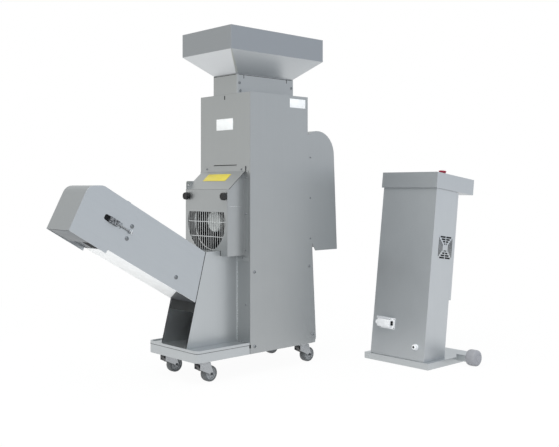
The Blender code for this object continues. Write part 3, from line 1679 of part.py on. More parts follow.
def desk_parts(root):
    half = DESK_WIDTH / 2
    low_x, high_x = STAND_X - half, STAND_X + half
    corners = [(0, 0), (DESK_LENGTH, 0), (DESK_LENGTH, DESK_HEIGHT), (0, DESK_HEIGHT)]
    outline = [desk_place(back, down) for back, down in corners]
    desk = piece("control_desk", prism(outline, "x", low_x, high_x), steel("desk"), root)
    corners = [
        (SHEET, SHEET),
        (DESK_LENGTH - SHEET, SHEET),
        (DESK_LENGTH - SHEET, DESK_HEIGHT - SHEET),
        (SHEET, DESK_HEIGHT - SHEET),
    ]
    inside = [desk_place(back, down) for back, down in corners]
    cut(desk, prism(inside, "x", low_x + SHEET, high_x - SHEET), "inside")
    inset = 4 * SHEET
    corners = [
        (DESK_OVERHANG + inset, DESK_HEIGHT / 2),
        (DESK_OVERHANG + COLUMN_DEPTH - inset, DESK_HEIGHT / 2),
        (DESK_OVERHANG + COLUMN_DEPTH - inset, DESK_HEIGHT + OVERRUN),
        (DESK_OVERHANG + inset, DESK_HEIGHT + OVERRUN),
    ]
    duct = [desk_place(back, down) for back, down in corners]
    clear = COLUMN_WIDTH / 2 - inset
    cut(desk, prism(duct, "x", STAND_X - clear, STAND_X + clear), "cable_duct")

    stem = STOP_RADIUS * 0.42
    controls = [
        ("emergency_stop", red, high_x - STOP_INSET, 0.383, STOP_RADIUS, STOP_HEIGHT, True),
        ("start_button", green, STAND_X - DESK_WIDTH * 0.25, 0.66, BUTTON_RADIUS, STOP_TRAVEL, False),
        ("stop_button", red, STAND_X - DESK_WIDTH * 0.08, 0.66, BUTTON_RADIUS, STOP_TRAVEL, False),
        ("speed_knob", black, STAND_X + DESK_WIDTH * 0.16, 0.66, BUTTON_RADIUS * 1.4, 2 * STOP_TRAVEL, False),
    ]
    for name, paint, x, back_share, radius, height, mushroom in controls:
        y, z = desk_place(DESK_LENGTH * back_share, 0)
        shaft = stem if mushroom else radius * 0.7
        lift = 2 * STOP_TRAVEL if mushroom else STOP_TRAVEL * 0.7
        hole = rod(shaft + 2 * GAP, "z", (x, y, z), -OVERRUN, OVERRUN, 16)
        cut(desk, tilted(hole, -STAND_LEAN, (0, y, z)), f"{name}_hole")
        profile = [
            (0, -3 * SHEET),
            (shaft, -3 * SHEET),
            (shaft, lift),
            (radius, lift),
            (radius, max(lift + SHEET, height - SHEET)),
            (radius * 0.8, height + SHEET / 2),
            (0, height + SHEET / 2),
        ]
        shape = turned(profile, "z", (x, y, z), 20)
        piece(name, tilted(shape, -STAND_LEAN, (0, y, z)), paint(name), root, (x, y, z), smooth=True)


clear_scene()
machine = machine_root()
base(machine)
for castor_name, castor_x, castor_y in (
    ("front_right", CASTOR_X, CASTOR_FRONT_Y),
    ("front_left", -CASTOR_X, CASTOR_FRONT_Y),
    ("rear_right", CASTOR_X, CASTOR_REAR_Y),
    ("rear_left", -CASTOR_X, CASTOR_REAR_Y),
):
    castor(castor_name, castor_x, castor_y, machine)
tower(machine)
neck_and_hopper(machine)
peeling_head(machine)
product_slide(machine)
fan(machine)
lower_housing(machine)
conveyor(machine)
exhaust_hood(machine)
control_stand(machine)
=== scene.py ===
"""Looks of an almond peeling machine: a sheet steel tower on castors with a hopper and a rising belt
conveyor, and the leaning control stand that stands beside it.

Metres, +Z up. The conveyor points towards -Y.
"""

import math

import bmesh
import bpy
from mathutils import Matrix, Vector


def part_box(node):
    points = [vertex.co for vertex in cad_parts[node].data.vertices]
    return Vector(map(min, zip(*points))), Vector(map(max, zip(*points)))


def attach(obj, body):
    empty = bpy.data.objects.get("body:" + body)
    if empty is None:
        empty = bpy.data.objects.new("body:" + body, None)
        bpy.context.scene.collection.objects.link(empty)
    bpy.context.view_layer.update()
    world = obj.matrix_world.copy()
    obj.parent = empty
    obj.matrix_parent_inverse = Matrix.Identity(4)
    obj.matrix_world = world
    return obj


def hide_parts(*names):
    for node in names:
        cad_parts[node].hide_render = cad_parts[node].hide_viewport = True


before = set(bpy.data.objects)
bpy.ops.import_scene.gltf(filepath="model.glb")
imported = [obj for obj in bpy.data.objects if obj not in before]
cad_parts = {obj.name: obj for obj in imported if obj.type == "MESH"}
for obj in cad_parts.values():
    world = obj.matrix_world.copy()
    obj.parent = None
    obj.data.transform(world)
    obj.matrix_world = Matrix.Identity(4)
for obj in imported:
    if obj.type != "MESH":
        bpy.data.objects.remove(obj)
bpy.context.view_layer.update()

# Camera: at chest height off the machine's front right corner, level, with the picture shifted
# down as in a product photograph. Places on the machine are measured from the foot of the tower's
# front, in the middle of its width.
PHOTO_WIDTH = 559
PHOTO_HEIGHT = 447
FOCAL_PIXELS = 810
HORIZON_ROW = 186.5
SENSOR_WIDTH = 36
CAMERA_PLACE = (3.310, -2.694, 0.962)
CAMERA_AIM = (-0.731, 0.682, 0)

panel_low, panel_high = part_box("front_panel")
TOWER_FOOT = Vector(((panel_low.x + panel_high.x) / 2, panel_low.y, 0))


def on_machine(x, y, z):
    """A point given from the foot of the tower's front."""
    return TOWER_FOOT + Vector((x, y, z))


camera = bpy.data.objects.new("camera", bpy.data.cameras.new("camera"))
bpy.context.scene.collection.objects.link(camera)
bpy.context.scene.camera = camera
camera.location = on_machine(*CAMERA_PLACE)
camera.rotation_euler = Vector(CAMERA_AIM).to_track_quat("-Z", "Y").to_euler()
camera.data.sensor_width = SENSOR_WIDTH
camera.data.lens = FOCAL_PIXELS / PHOTO_WIDTH * SENSOR_WIDTH
camera.data.shift_y = (HORIZON_ROW - PHOTO_HEIGHT / 2) / PHOTO_WIDTH
camera.data.clip_end = 100

# Studio: a white floor without an edge, a pale room that is a little brighter and cooler on the
# machine's right, and two large soft lamps. Camera and gloss see the room and the floor as white.
WHITE = "FFFFFF"
FLOOR_REACH = 30
FLOOR_TONE = "F4F4F4"
ROOM_BRIGHT_SIDE = (0.80, 0.60, 0.05)
ROOM_BLEND = 0.9
ROOM_DIM = "F2F2EF"
ROOM_BRIGHT = "F3F8FF"
ROOM_STRENGTH = 0.93
SHADOW_SHARE = 0.05
SHADOW_REACH = (1.4, 3.4)
LAMP_AIM = (0, 0, 0.8)

# A Mix node's colour sockets go by number, because their names repeat.
MIX_SHARE, MIX_LOW, MIX_HIGH, MIX_RESULT = 0, 6, 7, 2


def linear(colour, share=1):
    """A share of an sRGB hex colour, as linear red, green and blue, with alpha."""
    tones = [int(colour[i : i + 2], 16) / 255 for i in (0, 2, 4)]
    light = [t / 12.92 if t <= 0.04045 else ((t + 0.055) / 1.055) ** 2.4 for t in tones]
    return [min(part * share, 1) for part in light] + [1]


def set_sockets(node, sockets):
    """Gives each of a node's named sockets a value, or the output of another node."""
    for name, value in sockets.items():
        if isinstance(value, bpy.types.NodeSocket):
            node.id_data.links.new(value, node.inputs[name])
        else:
            node.inputs[name].default_value = value


def add(tree, kind, sockets=None, **settings):
    """Adds a node with its settings and its sockets."""
    made = tree.nodes.new(kind)
    for name, value in settings.items():
        setattr(made, name, value)
    set_sockets(made, sockets or {})
    return made


def mixed(tree, share, low, high):
    """The mix of two colours, each a colour or the output of a node."""
    sockets = {MIX_SHARE: share, MIX_LOW: low, MIX_HIGH: high}
    return add(tree, "ShaderNodeMix", sockets, data_type="RGBA").outputs[MIX_RESULT]


def mapped(tree, value, given=(0, 1), wanted=(0, 1), curve="LINEAR"):
    """A value taken from its given range to the wanted one."""
    ends = zip(("From Min", "From Max", "To Min", "To Max"), (*given, *wanted))
    sockets = {"Value": value, **dict(ends)}
    return add(tree, "ShaderNodeMapRange", sockets, interpolation_type=curve).outputs["Result"]


world = bpy.data.worlds.new("pale_room")
bpy.context.scene.world = world
world.use_nodes = True
room = world.node_tree
room.nodes.clear()
look = add(room, "ShaderNodeTexCoord")
side = add(
    room,
    "ShaderNodeVectorMath",
    {0: look.outputs["Generated"], 1: Vector(ROOM_BRIGHT_SIDE).normalized()},
    operation="DOT_PRODUCT",
)
side_share = mapped(room, side.outputs["Value"], (-ROOM_BLEND, ROOM_BLEND), curve="SMOOTHSTEP")
walls = mixed(room, side_share, linear(ROOM_DIM), linear(ROOM_BRIGHT))
lit_room = add(room, "ShaderNodeBackground", {"Color": walls, "Strength": ROOM_STRENGTH})
white_room = add(room, "ShaderNodeBackground", {"Color": linear(WHITE), "Strength": 1})
ray = add(room, "ShaderNodeLightPath")
seen_room = add(
    room,
    "ShaderNodeMixShader",
    {0: ray.outputs["Is Camera Ray"], 1: lit_room.outputs[0], 2: white_room.outputs[0]},
)
add(room, "ShaderNodeOutputWorld", {"Surface": seen_room.outputs[0]})

floor_paper = bpy.data.materials.new("white_paper_floor")
floor_paper.use_nodes = True
tree = floor_paper.node_tree
tree.nodes.clear()
ray = add(tree, "ShaderNodeLightPath")
seen = ray.outputs["Is Camera Ray"]
for kind in ("Is Glossy Ray", "Is Transmission Ray"):
    either = add(tree, "ShaderNodeMath", {0: seen, 1: ray.outputs[kind]}, operation="MAXIMUM")
    seen = either.outputs[0]
where = add(tree, "ShaderNodeTexCoord")
away = add(tree, "ShaderNodeVectorMath", {0: where.outputs["Object"]}, operation="LENGTH")
open_floor = mapped(tree, away.outputs["Value"], SHADOW_REACH, (1 - SHADOW_SHARE, 1), "SMOOTHSTEP")
glow_share = add(tree, "ShaderNodeMath", {0: seen, 1: open_floor}, operation="MULTIPLY")
paper = add(tree, "ShaderNodeBsdfDiffuse", {"Color": linear(FLOOR_TONE)})
glow = add(tree, "ShaderNodeEmission", {"Color": linear(WHITE), "Strength": 1})
shown = add(
    tree, "ShaderNodeMixShader", {0: glow_share.outputs[0], 1: paper.outputs[0], 2: glow.outputs[0]}
)
add(tree, "ShaderNodeOutputMaterial", {"Surface": shown.outputs[0]})

bm = bmesh.new()
bmesh.ops.create_grid(bm, x_segments=1, y_segments=1, size=FLOOR_REACH)
floor_mesh = bpy.data.meshes.new("floor")
bm.to_mesh(floor_mesh)
bm.free()
floor_mesh.materials.append(floor_paper)
floor = bpy.data.objects.new("floor", floor_mesh)
bpy.context.scene.collection.objects.link(floor)

for name, place, size, power, tone in (
    ("lamp_front", (3.8, -3.4, 6.5), 4.5, 130, "FFFDF8"),
    ("lamp_above", (0.3, -1.2, 5.0), 3.5, 80, WHITE),
):
    lamp = bpy.data.objects.new(name, bpy.data.lights.new(name, "AREA"))
    bpy.context.scene.collection.objects.link(lamp)
    lamp.data.size = size
    lamp.data.energy = power
    lamp.data.color = linear(tone)[:3]
    lamp.location = on_machine(*place)
    lamp.rotation_euler = (on_machine(*LAMP_AIM) - lamp.location).to_track_quat("-Z", "Y").to_euler()

bpy.context.scene.view_settings.view_transform = "Standard"

# Base: a welded frame of folded stainless sheet under the tower, and the shallow drip tray that
# lies on its front. Both are type 304 sheet with a fine belt-brushed finish; a black strip in their seam is
# painted shadow.
BASE_STEEL = "BDC1C3"
SHEET_EDGE = 0.0012
SEAM_SHADOW_PROUD = 0.0004
SEAM_SHADOW_HEIGHT = 0.0022
BASE_CORNER = 0.026
STREAK_SIZE = (0.004, 0.004, 0.5)
HANDLING_MARK = 0.09
SCRATCH_DEPTH = 0.00004
SHARP_ANGLE = math.radians(35)
MOULD_GRIT = 0.0006
MOULD_PATCH = 0.03
ACROSS = (0, math.radians(90), 0)
LENGTHWISE = (math.radians(90), 0, 0)


def noise(tree, place, size, detail, roughness=0.5):
    """Noise in patches of a size in metres."""
    sockets = {"Vector": place, "Scale": 1 / size, "Detail": detail, "Roughness": roughness}
    return add(tree, "ShaderNodeTexNoise", sockets).outputs["Fac"]


def open_material(material):
    """A material's node tree and surface, and the place in Object coordinates."""
    material.use_nodes = True
    tree = material.node_tree
    where = add(tree, "ShaderNodeTexCoord")
    return tree, tree.nodes["Principled BSDF"], where.outputs["Object"]


def brushed_steel(name, colour, grain=(0, 0, 0), roughness=0.36):
    """Stainless sheet with a number 4 finish: soft, slightly streaked reflections along the grain.

    The belt's scratches are a tenth of a millimetre apart, which is too fine to show, so the
    streaks drawn are 4 mm wide and 0.5 m long. Handling marks are a palm wide.
    """
    material = bpy.data.materials.new(name)
    tree, surface, place = open_material(material)
    sockets = {"Vector": place, "Rotation": grain, "Scale": STREAK_SIZE}
    streak_place = add(tree, "ShaderNodeMapping", sockets, vector_type="TEXTURE")
    streaks = noise(tree, streak_place.outputs["Vector"], 1, 3, 0.6)
    marks = noise(tree, place, HANDLING_MARK, 3)
    edges = add(tree, "ShaderNodeBevel", {"Radius": SHEET_EDGE}, samples=4).outputs["Normal"]
    sockets = {"Strength": 0.12, "Distance": SCRATCH_DEPTH, "Height": streaks, "Normal": edges}
    scratches = add(tree, "ShaderNodeBump", sockets)
    set_sockets(
        surface,
        {
            "Metallic": 0.85,
            "Base Color": mixed(tree, streaks, linear(colour, 0.97), linear(colour, 1.03)),
            "Roughness": mapped(tree, marks, wanted=(roughness - 0.05, roughness + 0.07)),
            "Normal": scratches.outputs["Normal"],
        },
    )
    return material


def dress(material, *names):
    """Gives CAD nodes their finish."""
    for name in names:
        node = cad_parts[name]
        if not node.material_slots:
            node.data.materials.append(material)
        for slot in node.material_slots:
            slot.link = "OBJECT"
            slot.material = material


def pour(bm, body, matrix=None, material=0):
    """Moves a finished closed body into the bmesh of its piece, and frees it."""
    bmesh.ops.recalc_face_normals(body, faces=body.faces)
    if matrix:
        bmesh.ops.transform(body, matrix=matrix, verts=body.verts)
    for face in body.faces:
        face.material_index = material
    passing = bpy.data.meshes.new("passing")
    body.to_mesh(passing)
    body.free()
    bm.from_mesh(passing)
    bpy.data.meshes.remove(passing)


def block_between(low, high):
    """A rectangular body between two opposite corners."""
    body = bmesh.new()
    bmesh.ops.create_cube(body, size=1)
    low, high = Vector(low), Vector(high)
    bmesh.ops.scale(body, vec=[abs(side) for side in high - low], verts=body.verts)
    bmesh.ops.translate(body, vec=(low + high) / 2, verts=body.verts)
    return body


def round_edges(body, edges, radius, segments=2):
    """Rounds edges of a body."""
    bmesh.ops.bevel(
        body, geom=edges, offset=radius, segments=segments, profile=0.5, affect="EDGES", material=-1
    )


def add_block(bm, low, high, matrix=None, material=0, broken=0.0004):
    """Adds a rectangular body with broken edges."""
    body = block_between(low, high)
    if broken:
        round_edges(body, body.edges[:], broken)
    pour(bm, body, matrix, material)


def finish_piece(name, bm, materials, body, replaced=()):
    """Makes a mesh object of a bmesh, smooth between its sharp edges, and lets it ride on a body."""
    mesh = bpy.data.meshes.new(name)
    bm.to_mesh(mesh)
    bm.free()
    for material in materials:
        mesh.materials.append(material)
    mesh.polygons.foreach_set("use_smooth", [True] * len(mesh.polygons))
    mesh.set_sharp_from_angle(angle=SHARP_ANGLE)
    piece = bpy.data.objects.new(name, mesh)
    bpy.context.scene.collection.objects.link(piece)
    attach(piece, body)
    if replaced:
        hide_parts(*replaced)


def moulded(name, colour, roughness=0.45, specular=0.5, relief=0.00002):
    """A moulded plastic or rubber: one colour through and through, with a fine eroded texture."""
    material = bpy.data.materials.new(name)
    tree, surface, place = open_material(material)
    patches = noise(tree, place, MOULD_PATCH, 2)
    sockets = {"Strength": 0.4, "Distance": relief, "Height": noise(tree, place, MOULD_GRIT, 2)}
    texture = add(tree, "ShaderNodeBump", sockets)
    set_sockets(
        surface,
        {
            "Base Color": mixed(tree, patches, linear(colour, 0.92), linear(colour, 1.08)),
            "Roughness": mapped(tree, patches, wanted=(roughness - 0.06, roughness + 0.06)),
            "Specular IOR Level": specular,
            "Normal": texture.outputs["Normal"],
        },
    )
    return material


base_steel = brushed_steel("brushed_stainless_base", BASE_STEEL, LENGTHWISE)
dress(base_steel, "base_frame", "base_tray")
# Painted shadow: a black strip round the tray's foot draws the shade in the seam between tray and frame.
seam_shadow_black = moulded("black_painted_seam_shadow", "3A3C3E", 0.6)
tray_low, tray_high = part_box("base_tray")
joint = (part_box("base_frame")[1].z + tray_low.z) / 2
seam_shadow = block_between(
    (tray_low.x - SEAM_SHADOW_PROUD, tray_low.y - SEAM_SHADOW_PROUD, joint - SEAM_SHADOW_HEIGHT / 2),
    (tray_high.x + SEAM_SHADOW_PROUD, tray_high.y, joint + SEAM_SHADOW_HEIGHT / 2),
)
front_corners = [
    edge
    for edge in seam_shadow.edges
    if abs(edge.verts[0].co.z - edge.verts[1].co.z) > SEAM_SHADOW_HEIGHT / 2 and edge.verts[0].co.y < tray_low.y
]
round_edges(seam_shadow, front_corners, BASE_CORNER, 10)
bm = bmesh.new()
pour(bm, seam_shadow)
finish_piece("base_seam_shadow", bm, [seam_shadow_black], "machine")

# Castors: swivel castors with a pressed, zinc plated fork, a moulded grey tyre on a grey rim, and a
# black brake pedal. The fork turns on a ball race under its plate, and the axle is a bolt.
ZINC = "ABAEB1"
TYRE_GREY = "66696B"
RIM_GREY = "A5A8AA"
PEDAL_BLACK = "1B1C1E"
SPANGLE = 0.003
TYRE_PROFILE = ((0.70, -0.80), (0.88, -0.93), (0.955, -0.84), (0.99, -0.55), (1, 0))
TREAD_INSET = 0.0015
AXLE_BORE = 0.0062
FORK_LEG = 0.0028
NUT_RADIUS = 0.0075
NUT_HEIGHT = 0.005
AXLE_COLLAR = (
    (0, -NUT_HEIGHT),
    (NUT_RADIUS * 1.25, -NUT_HEIGHT * 0.1),
    (NUT_RADIUS * 1.25, NUT_HEIGHT * 0.18),
    (NUT_RADIUS * 0.62, NUT_HEIGHT * 0.18),
    (NUT_RADIUS * 0.62, NUT_HEIGHT),
    (NUT_RADIUS * 0.45, NUT_HEIGHT * 1.2),
    (0, NUT_HEIGHT * 1.2),
)
AXLE_NUT = (
    (0, 0),
    (NUT_RADIUS, 0),
    (NUT_RADIUS, NUT_HEIGHT * 0.8),
    (NUT_RADIUS * 0.88, NUT_HEIGHT),
    (0, NUT_HEIGHT),
)


def plated_steel(name, colour):
    """Bright zinc plating on pressed steel: smoother than brushed sheet, with a faint spangle."""
    material = bpy.data.materials.new(name)
    tree, surface, place = open_material(material)
    spangle = add(tree, "ShaderNodeTexVoronoi", {"Vector": place, "Scale": 1 / SPANGLE}).outputs["Distance"]
    set_sockets(
        surface,
        {
            "Metallic": 0.9,
            "Base Color": mixed(tree, spangle, linear(colour, 0.94), linear(colour, 1.05)),
            "Roughness": mapped(tree, spangle, wanted=(0.22, 0.36)),
        },
    )
    return material


zinc = plated_steel("zinc_plated_steel", ZINC)
dark_bolt = plated_steel("blackened_bolt", "4A4D50")
tyre_rubber = moulded("moulded_grey_rubber", TYRE_GREY, 0.55)
rim_plastic = moulded("moulded_grey_nylon", RIM_GREY, 0.42)
pedal_plastic = moulded("moulded_black_nylon", PEDAL_BLACK, 0.4)


def facing(point, direction):
    """The matrix that takes the Z axis to a direction, at a point."""
    turn = Vector(direction).to_track_quat("Z", "Y").to_matrix().to_4x4()
    return Matrix.Translation(Vector(point)) @ turn


def add_turned(bm, outline, point, direction, material=0, steps=48):
    """Adds a body turned from an outline of (radius, height) points, standing along a direction."""
    body = bmesh.new()
    rim = [body.verts.new((radius, 0, height)) for radius, height in outline]
    edges = [body.edges.new(pair) for pair in zip(rim, rim[1:])]
    bmesh.ops.spin(
        body, geom=rim + edges, cent=(0, 0, 0), axis=(0, 0, 1), angle=math.tau, steps=steps, use_merge=True
    )
    bmesh.ops.remove_doubles(body, verts=body.verts, dist=1e-6)
    pour(bm, body, facing(point, direction), material)


def mirrored(outline):
    """An outline, carried on by its own reflection in the plane at height 0."""
    return outline + [(radius, -height) for radius, height in reversed(outline) if height]


for corner in ("front_right", "front_left", "rear_right", "rear_left"):
    wheel, fork = f"castor_wheel_{corner}", f"castor_fork_{corner}"
    dress(zinc, fork)
    dress(pedal_plastic, f"castor_pedal_{corner}")
    low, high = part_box(wheel)
    middle = (low + high) / 2
    radius = (high.z - low.z) / 2
    half = (high.x - low.x) / 2
    tread = half - TREAD_INSET
    tyre = [(radius * wide, tread * out) for wide, out in TYRE_PROFILE]
    rim = [
        (AXLE_BORE, -half),
        (radius * 0.30, -half),
        (radius * 0.33, -half * 0.93),
        (radius * 0.36, -tread * 0.55),
        (radius * 0.60, -tread * 0.50),
        (radius * 0.655, -tread * 0.84),
        (radius * 0.70, -tread * 0.84),
    ]
    bm = bmesh.new()
    add_turned(bm, mirrored(tyre) + tyre[:1], middle, (1, 0, 0))
    add_turned(bm, mirrored(rim) + rim[:1], middle, (1, 0, 0), material=1)
    finish_piece(f"tyre_and_rim_{corner}", bm, [tyre_rubber, rim_plastic], wheel, [wheel])
    bm = bmesh.new()
    for way in (1, -1):
        seat = (middle.x + way * (half + FORK_LEG), middle.y, middle.z)
        add_turned(bm, AXLE_COLLAR, seat, (way, 0, 0), steps=32)
        add_turned(bm, AXLE_NUT, seat, (way, 0, 0), steps=6)
    finish_piece(f"axle_nuts_{corner}", bm, [dark_bolt], fork)

# Tower: four folded stainless panels screwed to the base and to each other, with the neck's own
# collar above. The side panels lap over the front and rear ones; the rear one leans out below its bend.
PANEL_STEEL = "AAADAE"
SCREW_RADIUS = 0.0085
SMALL_SCREW = 0.0055
NECK_SCREW = 0.0074
SIDE_SCREWS = ((0.0286, 0.5263), (0.4234, 0.5304), (0.0313, 0.1463), (0.4496, 0.157))
NECK_SCREWS = ((0.388, 1.501), (0.0165, 1.500), (0.022, 1.460))
FRONT_SCREW = (0.1711, 0, 0.3574)
REAR_TOP = 0.412
REAR_BEND = 1.252
REAR_LEAN = 0.057
REAR_SCREW_SIDE = 0.165
REAR_SCREW_HEIGHTS = (0.24, 0.57)
NECK_HALF = 0.10125
NECK_SLOTS = (0.046, 0.352)
NECK_SLOT_HEIGHTS = (1.524, 1.543)
FRONT_SLOT_HEIGHTS = (1.418, 1.438)
SIDE_NOTCH = ((-0.0060, 0.1410), (0.0040, 0.1580))
NECK_SEAM_UP = 0.0135
SEAM_ENDS = (0.010, 0.390)
SEAM_HALF = 0.092
MARK_WIDTH = 0.0035
MARK_DEPTH = 0.0006
PLATE_SUNK = 0.0005
PLATE_PROUD = 0.0008
PLATE_EDGE = 0.0003
FRONT_PLATE = ((-0.068, 1.258), (0.068, 1.317))
SIDE_PLATE = ((0.278, 1.382), (0.393, 1.429))
panel_steel = brushed_steel("brushed_stainless_panel", PANEL_STEEL)
dress(panel_steel, "front_panel", "side_panel_right", "side_panel_left", "rear_panel", "hopper_neck")


def add_screw(bm, point, direction, radius=SCREW_RADIUS, material=0):
    """Adds a button head screw with a hexagon socket, its seat at a point."""
    add_turned(
        bm,
        [
            (0, radius * 0.28),
            (radius * 0.26, radius * 0.28),
            (radius * 0.48, radius * 0.28),
            (radius * 0.48, radius * 0.58),
            (radius * 0.70, radius * 0.50),
            (radius * 0.90, radius * 0.30),
            (radius, radius * 0.08),
            (radius, 0),
            (0, 0),
        ],
        point,
        direction,
        material,
        steps=24,
    )


screw_steel = plated_steel("stainless_screw", "8A8E91")
# Black for black rubber and plastic parts, and painted shade in slots, holes and gaps.
black_and_painted_gap_shade = moulded("black_parts_and_painted_gap_shade", "1C1D1F", 0.7, specular=0.15)
plate_white = moulded("bare_white_plate", "F4F6F7", 0.35, relief=0.00001)
plate_yellow = moulded("bare_yellow_plate", "CDBE45", 0.35, relief=0.00001)
# Bright steel for chromed rings and bright small parts, and for painted highlights on sheet edges.
bright_steel_and_painted_highlight = plated_steel("polished_steel_and_painted_highlight", "E4E7E8")
side_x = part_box("side_panel_right")[1].x - TOWER_FOOT.x

bm = bmesh.new()
for sign in (1, -1):
    for y, z in SIDE_SCREWS:
        add_screw(bm, on_machine(sign * side_x, y, z), (sign, 0, 0))
    for y, z in NECK_SCREWS:
        add_screw(bm, on_machine(sign * NECK_HALF, y, z), (sign, 0, 0), NECK_SCREW)
    add_screw(bm, on_machine(sign * FRONT_SCREW[0], *FRONT_SCREW[1:]), (0, -1, 0), SMALL_SCREW)
for x in (-REAR_SCREW_SIDE, REAR_SCREW_SIDE):
    for z in REAR_SCREW_HEIGHTS:
        add_screw(bm, on_machine(x, REAR_TOP + (REAR_BEND - z) * REAR_LEAN, z), (0, 1, REAR_LEAN))
finish_piece("panel_screws", bm, [screw_steel], "machine")

# Slots, a notch and the neck's seams are black blocks on the sheet: painted shade for the slots and the
# notch, dark joints for the seams.
bm = bmesh.new()
(notch_front, notch_foot), (notch_back, notch_top) = SIDE_NOTCH
for sign in (1, -1):
    for y in NECK_SLOTS:
        add_block(
            bm,
            on_machine(sign * NECK_HALF - MARK_DEPTH, y - MARK_WIDTH / 2, NECK_SLOT_HEIGHTS[0]),
            on_machine(sign * NECK_HALF + MARK_DEPTH, y + MARK_WIDTH / 2, NECK_SLOT_HEIGHTS[1]),
        )
    add_block(
        bm,
        on_machine(sign * side_x - MARK_DEPTH, notch_front, notch_foot),
        on_machine(sign * side_x + MARK_DEPTH, notch_back, notch_top),
    )
add_block(
    bm,
    on_machine(-MARK_WIDTH, -MARK_DEPTH, FRONT_SLOT_HEIGHTS[0]),
    on_machine(MARK_WIDTH, MARK_DEPTH, FRONT_SLOT_HEIGHTS[1]),
)
neck_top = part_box("hopper")[0].z + NECK_SEAM_UP
for low, high in (
    ((-SEAM_HALF, -MARK_DEPTH), (SEAM_HALF, MARK_DEPTH)),
    ((NECK_HALF - MARK_DEPTH, SEAM_ENDS[0]), (NECK_HALF + MARK_DEPTH, SEAM_ENDS[1])),
    ((-NECK_HALF - MARK_DEPTH, SEAM_ENDS[0]), (-NECK_HALF + MARK_DEPTH, SEAM_ENDS[1])),
):
    add_block(bm, on_machine(*low, neck_top - 0.0026), on_machine(*high, neck_top - 0.0002), broken=0.0002)
finish_piece("tower_slots", bm, [black_and_painted_gap_shade], "machine")

bm = bmesh.new()
(low_x, low_z), (high_x, high_z) = FRONT_PLATE
add_block(
    bm, on_machine(low_x, -PLATE_PROUD, low_z), on_machine(high_x, PLATE_SUNK, high_z), broken=PLATE_EDGE
)
(low_y, low_z), (high_y, high_z) = SIDE_PLATE
add_block(
    bm,
    on_machine(side_x - PLATE_SUNK, low_y, low_z),
    on_machine(side_x + PLATE_PROUD, high_y, high_z),
    broken=PLATE_EDGE,
)
finish_piece("bare_plates", bm, [plate_white], "machine")

# Hopper: a pyramid of welded sheet with an upright rim, all of one sheet. It lies on the neck; its walls are
# polished inside and out, so that the almonds slide. Its two tones are painted light: the walls' lighter
# tone is a painted reflection of the bright floor, and the rim's darker tone above its foot is painted
# shade.
RIM_FOOT = 1.649
WALL_TONE_PAINTED_REFLECTION = "CDD0D2"
RIM_TONE_PAINTED_SHADE = "9B9FA3"


def repaint_beyond(material, measure, limit, colour):
    """Gives a material a second colour where a measure of the place passes a limit."""
    tree, surface = material.node_tree, material.node_tree.nodes["Principled BSDF"]
    beyond = add(tree, "ShaderNodeMath", {0: measure, 1: limit}, operation="GREATER_THAN")
    first = surface.inputs["Base Color"].links[0].from_socket
    set_sockets(surface, {"Base Color": mixed(tree, beyond.outputs[0], first, linear(colour))})


# Painted light: one sheet in two tones, a painted reflection on the walls and painted shade on the rim above
# RIM_FOOT.
hopper_steel = brushed_steel("polished_stainless_hopper_painted_light", WALL_TONE_PAINTED_REFLECTION, ACROSS, 0.32)
tree, _, place = open_material(hopper_steel)
axes = add(tree, "ShaderNodeSeparateXYZ", {"Vector": place})
repaint_beyond(hopper_steel, axes.outputs["Z"], RIM_FOOT, RIM_TONE_PAINTED_SHADE)
dress(hopper_steel, "hopper")

# Peeling head: two rubber covered rollers in bearing plates, turned by a gear motor. It works inside
# the tower, between the feed chute and the slide that takes the almonds to the belt.
roller_rubber = moulded("ground_black_rubber", "232527", 0.6)
motor_paint = moulded("satin_grey_paint", "8E9296", 0.35)
dark_paint = moulded("satin_black_paint", "26282A", 0.4)
dress(roller_rubber, "peeling_roller_right", "peeling_roller_left")
dress(panel_steel, "bearing_plate_front", "bearing_plate_rear", "feed_chute", "product_slide")
dress(motor_paint, "drive_motor")

# Fan: an axial fan in a sheet box on the tower's front, behind a cover with a cut circle and a wire
# guard. Two fluted black knobs hold the cover; screws hold the box's flanges to the tower.
FAN_MIDDLE = (-0.013, 0.7805)
INLET_RADIUS = 0.150
INLET_BACK = 0.043
INLET_DEPTH = 0.040
INLET_SHEET = 0.0015
INLET_ROUND = 0.004
MOTOR_HOLE = 0.049
RING_WIRE = 0.0034
RING_STEPS = 72
SHADE_RING_RADIUS = 0.166
HUB_LIGHT_RADIUS = 0.0575
FAN_HUB_TONE = "D5D9D7"
FAN_BLADE_TONE = "1C1D20"
FLUTES = 9
FLUTE_DEPTH = 0.085
FLANGE_FACE = -0.0028
ROOF_FOOT = (-0.112, 0.9471)
ROOF_TOP = 1.041
ROOF_SLOPE = math.atan2(ROOF_TOP - ROOF_FOOT[1], FLANGE_FACE - ROOF_FOOT[0])
ROOF_OVERHANG = 0.012
YELLOW_PLATE = ((-0.108, 0.066, 0), (0.080, 0.121, 0.0008))
FOOT_TABS = ((0.1125, 0.006), (0.131, 0.012), (0.151, 0.009))
FLANGE_SCREWS = ((0.1743, SMALL_SCREW), (-0.1985, SMALL_SCREW * 0.6))
FLANGE_SCREW_HEIGHTS = (1.0069, 0.8218, 0.6372)
TOP_SCREWS = ((-0.1455, 1.0547), (0.1389, 1.0503))
FOOT_SCREW = (0.152, -0.0018, 0.597)


def add_wire(bm, points, radius, closed=False, material=0):
    """Adds a round wire that follows points."""
    line = bpy.data.curves.new("wire", "CURVE")
    line.dimensions = "3D"
    line.bevel_depth = radius
    line.bevel_resolution = 2
    line.use_fill_caps = True
    spline = line.splines.new("POLY")
    spline.points.add(len(points) - 1)
    for spot, place in zip(spline.points, points):
        spot.co = (*place, 1)
    spline.use_cyclic_u = closed
    holder = bpy.data.objects.new("wire", line)
    mesh = bpy.data.meshes.new_from_object(holder)
    body = bmesh.new()
    body.from_mesh(mesh)
    bmesh.ops.remove_doubles(body, verts=body.verts, dist=1e-6)
    bpy.data.objects.remove(holder)
    bpy.data.curves.remove(line)
    bpy.data.meshes.remove(mesh)
    pour(bm, body, material=material)


